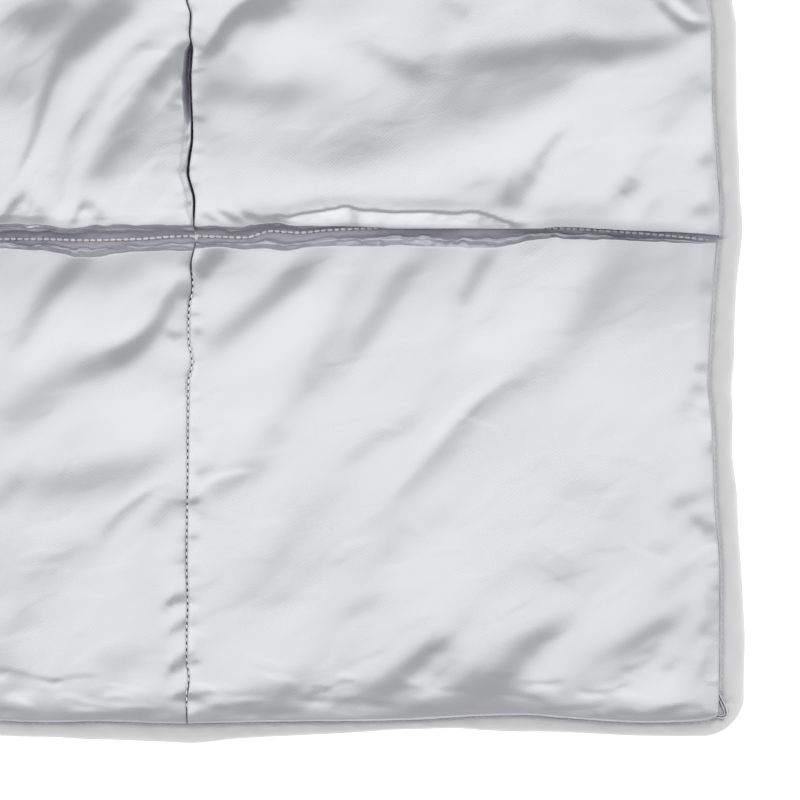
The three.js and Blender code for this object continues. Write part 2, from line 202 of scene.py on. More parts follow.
@dataclass(frozen=True)
class Lip:
    """How the cloth stands up on one side of a seam.

    The cloth leaves the stitches, climbs to an uneven middle part, goes on to a lip, falls back
    steeply behind it and goes over into the crown. An overhang bulges out past the lip.
    """

    gap: Course
    middle: Course
    overhang: float
    edge: float
    steep: Course
    reach: Course
    hold: float = 0.3
    far: float = 5.0
    run: float = 30.0
    depth: float = CROWN - SEAM_LEVEL
    seed: int = 0
    wall: Course = WALL_MIDDLE
    lean: float = 1.0
    # ledge and soft set painted light and shade: ledge lightens the painted shade on a ledge in the seam,
    # soft is where that painted shade ends
    ledge: float = 0.0
    soft: float = 1.08

    def fall(self, inside: Array, steep: Array, reach: Array) -> Array:
        """How far the cloth is below the crown behind its lip.

        Args:
            inside: distances behind the lip.
            steep: slope right behind the lip.
            reach: how far the steep part goes.

        Returns:
            Depths in mm.
        """
        held = self.hold * reach
        rest = reach - held
        t = np.clip((inside - held) / rest, 0, 1)
        near = steep * (np.clip(held - inside, 0, None) + rest * (0.5 - t + t**3 - t**4 / 2))
        return near + self.far * np.exp(-inside / self.run)

    def turnover(self, out: Array, along: Array) -> Array:
        """How close places are to the line where a steep lip goes over into the crown, along which a line of
        shade is painted.

        Args:
            out: distances from the seam line, one row per station.
            along: distances along the seam, one per station.

        Returns:
            Shares, 1 on the line, 0 where the lip is not steep.
        """
        reach = self.reach.at(along)[:, None]
        inside = out - self.gap.at(along)[:, None] - self.edge
        steep = ease(0.5, 0.62, self.steep.at(along))[:, None]
        return steep * np.exp(-(((inside - 1.2 * reach) / 2.4) ** 2))

    def openness(self, away: Array, out: Array, along: Array) -> Array:
        """How much light is painted into the cloth's colour beside the seam: shade is painted deep in it,
        light on a ledge.

        Args:
            away: distances from the seam in the grid, one per grid line.
            out: distances from the seam line, one row per station.
            along: distances along the seam, one per station.

        Returns:
            Shares, one row per station, 0 where shade is painted darkest deep in the seam.
        """
        t = away[None, :] / LIP_END
        # painted light on the ledge inside the seam; on long seams a lighter painted floor with a thin
        # painted dark line near the lip
        ledge = self.ledge * ease(0.42, 0.6, t)
        if self.lean > 1:
            raised = ease(0.5, 0.85, self.middle.at(along))[:, None]
            ledge = (0.7 - 0.35 * np.exp(-(((t - 0.94) / 0.05) ** 2))) * ease(0.9, 1.6, out) * raised
        # painted shade deep in the seam, fading out by the lip
        return np.maximum(ease(0.95, self.soft, t), ledge)

    def place(self, away: Array, along: Array) -> tuple[Array, Array]:
        """Where the cloth goes, by its distance from the seam before it was filled.

        Args:
            away: distances from the seam in the grid, one per grid line.
            along: distances along the seam, one per station.

        Returns:
            Distance from the seam line in plan and share of the full height, both with
            one row per station.
        """
        gap = self.gap.at(along)[:, None]
        middle = self.middle.at(along)[:, None]
        steep = self.steep.at(along)[:, None]
        reach = self.reach.at(along)[:, None]
        ragged = lattice_noise(along, 0 * along, 8, self.seed + 56)[:, None]
        ragged = np.clip(steep - 0.5, 0, 0.15) * ragged
        reach = reach * (1 + 0.5 * ragged)
        d = away[None, :] + 0 * gap
        run = along[:, None] + 0 * d
        gap = gap + 0.15 * np.clip(gap, 0, 3) * lattice_noise(run[:, :1], 0 * gap, 5, self.seed + 50)
        lip_up = np.maximum(self.depth - self.fall(0 * gap, steep, reach), 3.0)
        lip_out = gap + self.edge
        t = np.clip(d / LIP_END, 0, 1)
        fold = lattice_noise(run, 60 * t, 13, self.seed + 55)
        loose = np.sin(math.pi * t) * np.clip(lip_out, 0, 5) / (5 * self.lean**1.5)
        crumple = lattice_noise(run, 9 * t, 3.1, self.seed + 51)
        crumple = crumple + 0.8 * lattice_noise(run, 4 * t, 7, self.seed + 52)
        out = WALL_OUT.at(t) ** self.lean * lip_out + self.overhang * (4 * t * (1 - t)) ** 2
        out = out + loose * (0.6 * crumple + 0.7 * fold)
        up = middle * self.wall.at(t) + (1 - middle) * WALL_TOP.at(t)
        height = lip_up * up + loose * (0.9 * lattice_noise(run, 6 * t, 2.4, self.seed + 53) - 1.1 * fold)
        past = np.clip(d - LIP_END, 0, None)
        far = d + (lip_out - LIP_END) * np.exp(-past / SETTLING)
        inside = np.clip(far - lip_out, 0, None)
        out = np.where(d > LIP_END, far, out)
        fallen = self.depth - self.fall(inside, steep, reach)
        mottled = 0.14 * np.clip(1.4 - inside / reach, 0, 1) * np.minimum(inside, 1) * steep
        fallen = fallen + mottled * lattice_noise(run, 1.6 * inside, 3.4, self.seed + 54)
        height = np.where(d > LIP_END, fallen, height)
        return out, height / self.depth


# Distances of the grid lines beside a seam, in the fine chambers and elsewhere
NEAR_LINES = (0.0, 0.5, 1.0, 1.5, 2.0, 2.5, 3.0, 3.5, 4.0, 4.5, 5.0, 5.5, 6.0, 6.5, 7.0, 7.5, 7.75, 8.3, 9.1)
COARSE_NEAR_LINES = (0.0, 1.5, 2.7, 3.9, 5.1, 6.3, 7.5, 9.5, 12.5)

NOT_READ = Course(())

# How far the seams wander aside, and how far their lips stand off, by the distance from the
# fine corner
CROSS_WANDER = Course((
    (0, 0.4), (10, 1.6), (21, 2.8), (41, 4.6), (62, 5.9), (72, 6.7), (86, 7.2), (98, 7.7), (128, 7.7),
    (165, 7.6), (180, 7.1), (193, 6.7), (205, 5.9), (216, 4.9), (230, 5.7), (237, 4.1), (243, 2.4),
    (270, 3.1), (282, 2.8), (298, 1.6), (328, 1.0), (349, 1.6), (370, 1.6), (440, -1.5),
    (542, 0.5),
))
CROSS_UPPER_GAP = Course((
    (0, 0.9), (10, 1.8), (21, 1.8), (41, 0.8), (62, 0.5), (84, 0.3), (95, -1.0), (128, -1.1),
    (165, -1.0), (180, 0.3), (205, 1.8), (216, 3.0), (246, 5.0), (277, 5.6), (318, 7.2), (334, 5.3),
    (345, 7.0), (370, 7.7),
))
CROSS_LOWER_GAP = Course((
    (0, 1.2), (21, 2.8), (54, 4.0), (72, 4.6), (82, 4.6), (103, 7.7), (120, 10.5), (139, 9.7),
    (164, 9.0), (193, 8.7), (216, 7.7), (228, 9.2), (252, 5.0), (267, 6.2), (276, 7.2),
    (305, 6.2), (330, 8.7), (345, 6.0), (370, 4.6),
))
LONG_WANDER = Course((
    (0, -2.3), (15, -2.8), (25, -1.6), (34, -2.8), (47, -2.8), (60, -2.3), (85, -2.8),
    (126, -2.3), (175, -1.9), (185, 0.0), (198, -1.9), (212, -1.6), (225, 0.5), (235, -0.5),
    (244, 1.3), (250, 2.0), (257, 1.0), (269, 1.5), (283, -1.6), (302, 0.5), (332, -0.3),
    (341, 0.2), (346, 0.5), (353, -1.0), (363, -0.5), (371, -2.6), (430, 1.0), (494, 0.0),
))
LONG_LEFT_GAP = Course((
    (0, 0.15), (200, 0.15), (215, 0.6), (228, 0.6), (240, 0.4), (256, 1.4), (264, 4.2),
    (343, 4.6), (350, 0.4), (372, 0.4),
))
LONG_RIGHT_GAP = Course(((0, 0.12), (235, 0.2), (262, 0.15), (372, 0.15)))
LONG_LEFT_MIDDLE = Course((
    (0, 0.6), (240, 0.6), (256, 0.94), (300, 0.95), (321, 0.3), (343, 0.3), (352, 0.6),
))
CROSS_LOWER_MIDDLE = Course((
    (0, 0.3), (60, 0.35), (100, 0.6), (216, 0.6), (250, 0.5), (372, 0.6),
))
CROSS_UPPER_STEEP = Course((
    (0, 0.05), (96, 0.08), (104, 0.35), (109, 0.8), (118, 0.81), (150, 0.83), (190, 0.85),
    (205, 0.83), (214, 0.79), (222, 0.66), (229, 0.3), (236, 0.15), (262, 0.12), (300, 0.1),
    (345, 0.12), (372, 0.2),
))
CROSS_UPPER_REACH = Course((
    (0, 5.0), (96, 4.0), (105, 3.0), (110, 3.6), (118, 7.0), (125, 8.8), (140, 9.0), (152, 9.2), (166, 9.4),
    (178, 9.6), (190, 10.2), (201, 9.6), (212, 7.4), (222, 4.5), (231, 4.0), (250, 9.0), (262, 7.0),
    (300, 5.0), (372, 4.0),
))
RIGHT_EDGE = Course((
    (0, 0.5), (52, 0.0), (77, 0.0), (113, 2.6), (154, 4.1), (175, 6.2), (195, 5.1), (226, 3.1),
    (247, 1.1), (262, 0.0), (288, 1.7), (318, 3.8), (359, 4.6), (371, 6.5), (400, 4.0),
    (494, 0.0),
))
FRONT_EDGE = Course((
    (0, 0.5), (14, 0.9), (40, 0.6), (60, 1.6), (81, 3.2), (101, 4.7), (127, 3.9), (137, 3.4),
    (163, 1.9), (245, 0.9), (272, 0.0), (289, 0.4), (317, 1.4), (350, 0.9), (368, 1.8),
    (410, 3.6), (542, 0.0),
))
FRONT_REACH = Course((
    (3, 1.3), (16, 1.4), (60, 1.4), (67, 7.5), (77, 9.0), (92, 14.0), (105, 19.0), (128, 21.0), (144, 19.0),
    (167, 23.0), (187, 19.0), (208, 24.0), (223, 21.0), (236, 15.0), (251, 12.0), (275, 10.0),
    (282, 12.0), (298, 20.0), (318, 25.0), (342, 26.0), (369, 29.0),
))
FRONT_STEEP = Course((
    (3, 0.72), (14, 0.76), (60, 0.7), (67, 0.12), (77, 0.15), (92, 0.24), (105, 0.3), (120, 0.36),
    (144, 0.36), (167, 0.22), (187, 0.12), (223, 0.1), (251, 0.12), (275, 0.21), (298, 0.27),
    (342, 0.24), (369, 0.22),
))
# Painted shade on the satin beside the front edge, by the distance from the fine corner
FRONT_SHADE = Course((
    (0, 0.0), (60, 0.0), (85, 0.25), (100, 0.4), (122, 0.5), (142, 0.4), (156, 0.15), (172, 0.0),
    (372, 0.0),
))
SIDE_REACH = Course((
    (0, 13.2), (22, 12.7), (43, 13), (63, 12), (89, 10.9), (115, 11.8), (140, 10), (166, 11.9),
    (186, 13), (207, 12.2), (227, 11.9), (249, 12.4), (269, 10.9), (289, 11.7), (330, 12.8),
    (369, 13.1), (420, 12.5),
))
FRONT_BAND = Course((
    (0, 7.3), (20, 7.8), (40, 7.2), (80, 7.9), (102, 9.2), (120, 8.0), (137, 6.2), (163, 5.3),
    (190, 6.6), (214, 7.6), (250, 9), (271, 10.3), (290, 10), (317, 10), (350, 8.1), (370, 8.5),
    (406, 6), (542, 9.8),
))


@dataclass(frozen=True)
class Seam:
    """One line of the quilting, or one edge of the satin."""

    wander: Course
    low_side: Lip
    high_side: Lip


@dataclass
class QuiltPlan:
    """Seam lines in plan and the shape of the cloth beside each of them."""

    seams: dict[tuple[Line, int], Seam] = field(default_factory=dict)

    def __post_init__(self) -> None:
        """Lays out every seam."""
        for index in range(COLUMNS + 1):
            self.seams[Line.LONG, index] = self.lay_out(Line.LONG, index)
        for index in range(ROWS + 1):
            self.seams[Line.CROSS, index] = self.lay_out(Line.CROSS, index)

    def lay_out(self, line: Line, index: int) -> Seam:
        """Makes one seam, with its own measured or uneven courses.

        Args:
            line: which way it runs.
            index: its place, counted from the left or from the front.

        Returns:
            The seam.
        """
        seed = 100 * index + (7 if line is Line.LONG else 3)
        across = line is Line.CROSS
        length = 2 * (HALF_WIDTH if across else HALF_LENGTH) + 60
        read = (line, index) in ((Line.LONG, COLUMNS - 1), (Line.CROSS, 1), (Line.CROSS, 0))

        def course(table: Course, mean: float, spread: float, step: float, number: int) -> Course:
            """The course as read in the photograph, if it shows there, and uneven from there on."""
            start = table if read else NOT_READ
            return start.carried_on(length, mean, spread, step, seed + number)

        if index in (0, ROWS if across else COLUMNS):
            lip = Lip(
                Course(((0, 0.0),)), Course(((0, 0.7),)), overhang=-0.9 if across else 0.0, edge=0.5,
                steep=course(FRONT_STEEP, 0.3, 0.08, 30, 11),
                reach=course(FRONT_REACH, 20.0 if across else 9.0, 5.0, 30, 12),
                hold=0.3, far=2.5 if across else 10.5, run=22.0 if across else 45.0,
                depth=CROWN - EDGE_LEVEL, seed=seed, soft=1.25 if across else 1.08,
            )
            return Seam(self.edge_course(line, index), lip, lip)
        if across:
            return Seam(
                course(CROSS_WANDER, 2.0, 2.6, 34, 0),
                Lip(course(CROSS_LOWER_GAP, 6.4, 2.6, 30, 1),
                    course(CROSS_LOWER_MIDDLE, 0.55, 0.15, 30, 13), overhang=0.0, edge=0.3,
                    steep=course(NOT_READ, 0.2, 0.1, 26, 6), reach=course(NOT_READ, 0.9, 0.3, 30, 9),
                    hold=0.15, far=-2.2, run=22.0, seed=seed + 62, ledge=0.78, soft=1.25),
                Lip(course(CROSS_UPPER_GAP, 3.2, 2.4, 30, 2),
                    course(NOT_READ, 0.5, 0.2, 30, 14), overhang=0.8, edge=0.3,
                    steep=course(CROSS_UPPER_STEEP, 0.6, 0.25, 26, 7),
                    reach=course(CROSS_UPPER_REACH, 8.0, 4.0, 40, 8),
                    hold=0.92, far=-1.0, run=25.0, seed=seed + 63, ledge=0.75, soft=1.25),
            )
        shape = dict(
            overhang=0.0, edge=0.15, reach=Course(((0, 4.0),)), hold=0.1, far=2.0, run=26.0,
            wall=FLAT_FLOOR, lean=2.4,
        )
        return Seam(
            course(LONG_WANDER, 0.0, 1.6, 30, 0),
            Lip(course(LONG_LEFT_GAP, 0.5, 0.5, 26, 1), course(LONG_LEFT_MIDDLE, 0.6, 0.2, 30, 3),
                steep=course(NOT_READ, 0.4, 0.25, 24, 4), seed=seed + 60, **shape),
            Lip(course(LONG_RIGHT_GAP, 0.4, 0.4, 26, 2), Course(((0, 0.6),)),
                steep=course(NOT_READ, 0.35, 0.25, 24, 5), seed=seed + 61, **shape),
        )

    def edge_course(self, line: Line, index: int) -> Course:
        """How far an edge is drawn in, along it from the fine corner's side.

        Args:
            line: which way the edge runs.
            index: its place.

        Returns:
            The course, inward above zero.
        """
        pitch = CHAMBER_LENGTH if line is Line.LONG else CHAMBER_WIDTH
        count = ROWS if line is Line.LONG else COLUMNS
        table = {(Line.LONG, COLUMNS): RIGHT_EDGE, (Line.CROSS, 0): FRONT_EDGE}
        rows = list(table.get((line, index), Course(((0, 0.0),))).rows)
        rng = np.random.default_rng(31 * index + (5 if line is Line.LONG else 9))
        for chamber in range(count):
            shares = rng.uniform(0.2, 0.8, 3)
            for share, part in zip(sorted(shares), (0.8, 1.15, 0.75)):
                along = (chamber + share) * pitch
                if along > rows[-1][0] + 12:
                    deep = DRAWN_IN * math.sin(math.pi * share) ** 2
                    rows.append((along, deep * part * rng.uniform(0.7, 1.2)))
            if (chamber + 1) * pitch > rows[-1][0] + 12:
                rows.append(((chamber + 1) * pitch, 0.0))
        return Course(tuple(rows))

    def long_x(self, index: int, y: Array) -> Array:
        """Across position of a long line.

        Args:
            index: its place from the left.
            y: positions along.

        Returns:
            The x of each.
        """
        along = y + HALF_LENGTH
        straight = index * CHAMBER_WIDTH - HALF_WIDTH
        aside = self.seams[Line.LONG, index].wander.at(along)
        return straight + (-aside if index == COLUMNS else aside)

    def cross_y(self, index: int, x: Array) -> Array:
        """Along position of a cross line.

        Args:
            index: its place from the front.
            x: positions across.

        Returns:
            The y of each.
        """
        along = HALF_WIDTH - x
        straight = index * CHAMBER_LENGTH - HALF_LENGTH
        aside = self.seams[Line.CROSS, index].wander.at(along)
        return straight + (-aside if index == ROWS else aside)

    def crossing(self, column: int, row: int) -> tuple[float, float]:
        """Where a long line meets a cross line.

        Args:
            column: place of the long line.
            row: place of the cross line.

        Returns:
            x and y.
        """
        x = np.array(column * CHAMBER_WIDTH - HALF_WIDTH)
        y = self.cross_y(row, x)
        for _ in range(3):
            x = self.long_x(column, y)
            y = self.cross_y(row, x)
        return float(x), float(y)

    def rounded(self, x: Array, y: Array) -> tuple[Array, Array]:
        """Draws places in where the satin's corners are rounded.

        Args:
            x: positions across.
            y: positions along.

        Returns:
            The new x and y.
        """
        inside = np.clip(HALF_WIDTH - np.abs(x), 0, None) + np.clip(HALF_LENGTH - np.abs(y), 0, None)
        share = np.exp(-inside / CORNER_RUN)
        return x - np.sign(x) * CORNER_PUSH[0] * share, y - np.sign(y) * CORNER_PUSH[1] * share

    def level(self, x: Array, y: Array) -> Array:
        """Height of the seams, which come down towards the edge.

        Args:
            x: positions across.
            y: positions along.

        Returns:
            Heights.
        """
        inside = np.minimum(HALF_WIDTH - np.abs(x), HALF_LENGTH - np.abs(y))
        return EDGE_LEVEL + (SEAM_LEVEL - EDGE_LEVEL) * ease(0, 16, inside)


LIGHT_AXIS = (-0.15, 0.989)  # level direction that the light is spread along


@dataclass(frozen=True)
class Band:
    """A strip of cloth that slopes: above zero it falls to the front, below zero to the back.

    Its path is in mm left of and up from the fine corner and half is its half-width. Above and
    below make its back and front sides softer, and widen and end change it towards its end.
    """

    slope: float
    half: float
    path: tuple[tuple[float, float], ...]
    above: float = 1.0
    below: float = 1.0
    widen: float = 1.0
    end: float = 1.0

    def line(self) -> Array:
        """The path in plan, rounded through its points.

        Returns:
            Points in mm, x and y.
        """
        points = np.array([(HALF_WIDTH - a, b - HALF_LENGTH) for a, b in self.path], float)
        padded = np.vstack([2 * points[0] - points[1], points, 2 * points[-1] - points[-2]])
        made = []
        for p0, p1, p2, p3 in zip(padded, padded[1:], padded[2:], padded[3:]):
            count = max(2, int(np.linalg.norm(p2 - p1) / 4))
            t = np.linspace(0, 1, count, endpoint=False)[:, None]
            made.append(
                0.5
                * (
                    2 * p1
                    + (p2 - p0) * t
                    + (2 * p0 - 5 * p1 + 4 * p2 - p3) * t**2
                    + (3 * p1 - p0 - 3 * p2 + p3) * t**3
                )
            )
        return np.vstack([*made, points[-1]])

    def slopes(self, x: Array, y: Array) -> Array:
        """Slope that the band asks for at places in plan.

        Args:
            x: positions across.
            y: positions along, same shape.

        Returns:
            Slopes, rise over run towards the back.
        """
        line = self.line()
        widest = self.half * max(1.0, self.widen) * max(1.0, self.above, self.below)
        low, high = line.min(0) - 2.6 * widest, line.max(0) + 2.6 * widest
        made = np.zeros_like(x)
        near = (x > low[0]) & (x < high[0]) & (y > low[1]) & (y < high[1])
        if not near.any():
            return made
        px, py = x[near], y[near]
        best = np.full(px.shape, np.inf)
        side = np.zeros(px.shape)
        share = np.zeros(px.shape)
        steps = np.diff(line, axis=0)
        lengths = np.linalg.norm(steps, axis=1)
        total = lengths.sum()
        travelled = 0.0
        for (ax, ay), (dx, dy), length in zip(line[:-1], steps, lengths):
            t = np.clip(((px - ax) * dx + (py - ay) * dy) / length**2, 0, 1)
            gx, gy = px - ax - t * dx, py - ay - t * dy
            distance = np.hypot(gx, gy)
            closer = distance < best
            best = np.where(closer, distance, best)
            side = np.where(closer, dx * (py - ay) - dy * (px - ax), side)
            share = np.where(closer, (travelled + t * length) / total, share)
            travelled += length
        chord = line[-1] - line[0]
        facing = chord[0] * LIGHT_AXIS[1] - chord[1] * LIGHT_AXIS[0]
        width = self.half * (1 + (self.widen - 1) * share)
        width = width * np.where(side * facing > 0, self.above, self.below)
        tip = ease(0, 0.25, np.minimum(share, 1 - share))
        strength = (1 + (self.end - 1) * share) * (0.35 + 0.65 * tip)
        made[near] = self.slope * strength * np.exp(-((best / width) ** 2))
        return made


def seen(slope: float, shade: float, *path: tuple[float, float], **shape: float) -> Band:
    """A fold that was read in the photograph.

    Its places are rounded to half a millimetre, which is as finely as they could be read.

    Args:
        slope: slope of the band.
        shade: half-width of its shade, in photo pixels.
        path: its middle line, in photo pixels.
        shape: the band's other values, with its half-width in mm where that was changed later.

    Returns:
        The band, in millimetres.
    """
    wider = SOFTENING if shade >= THIN_SHADE else THIN_SOFTENING
    values = {"half": round(wider * round(shade / PIXELS_PER_MM / SHADE_SHARE, 1), 1), **shape}
    places = tuple(
        tuple(round(2 * (end - at) / PIXELS_PER_MM) / 2 for end, at in zip(CORNER_PIXEL, point))
        for point in path
    )
    return Band(slope, path=places, **values)


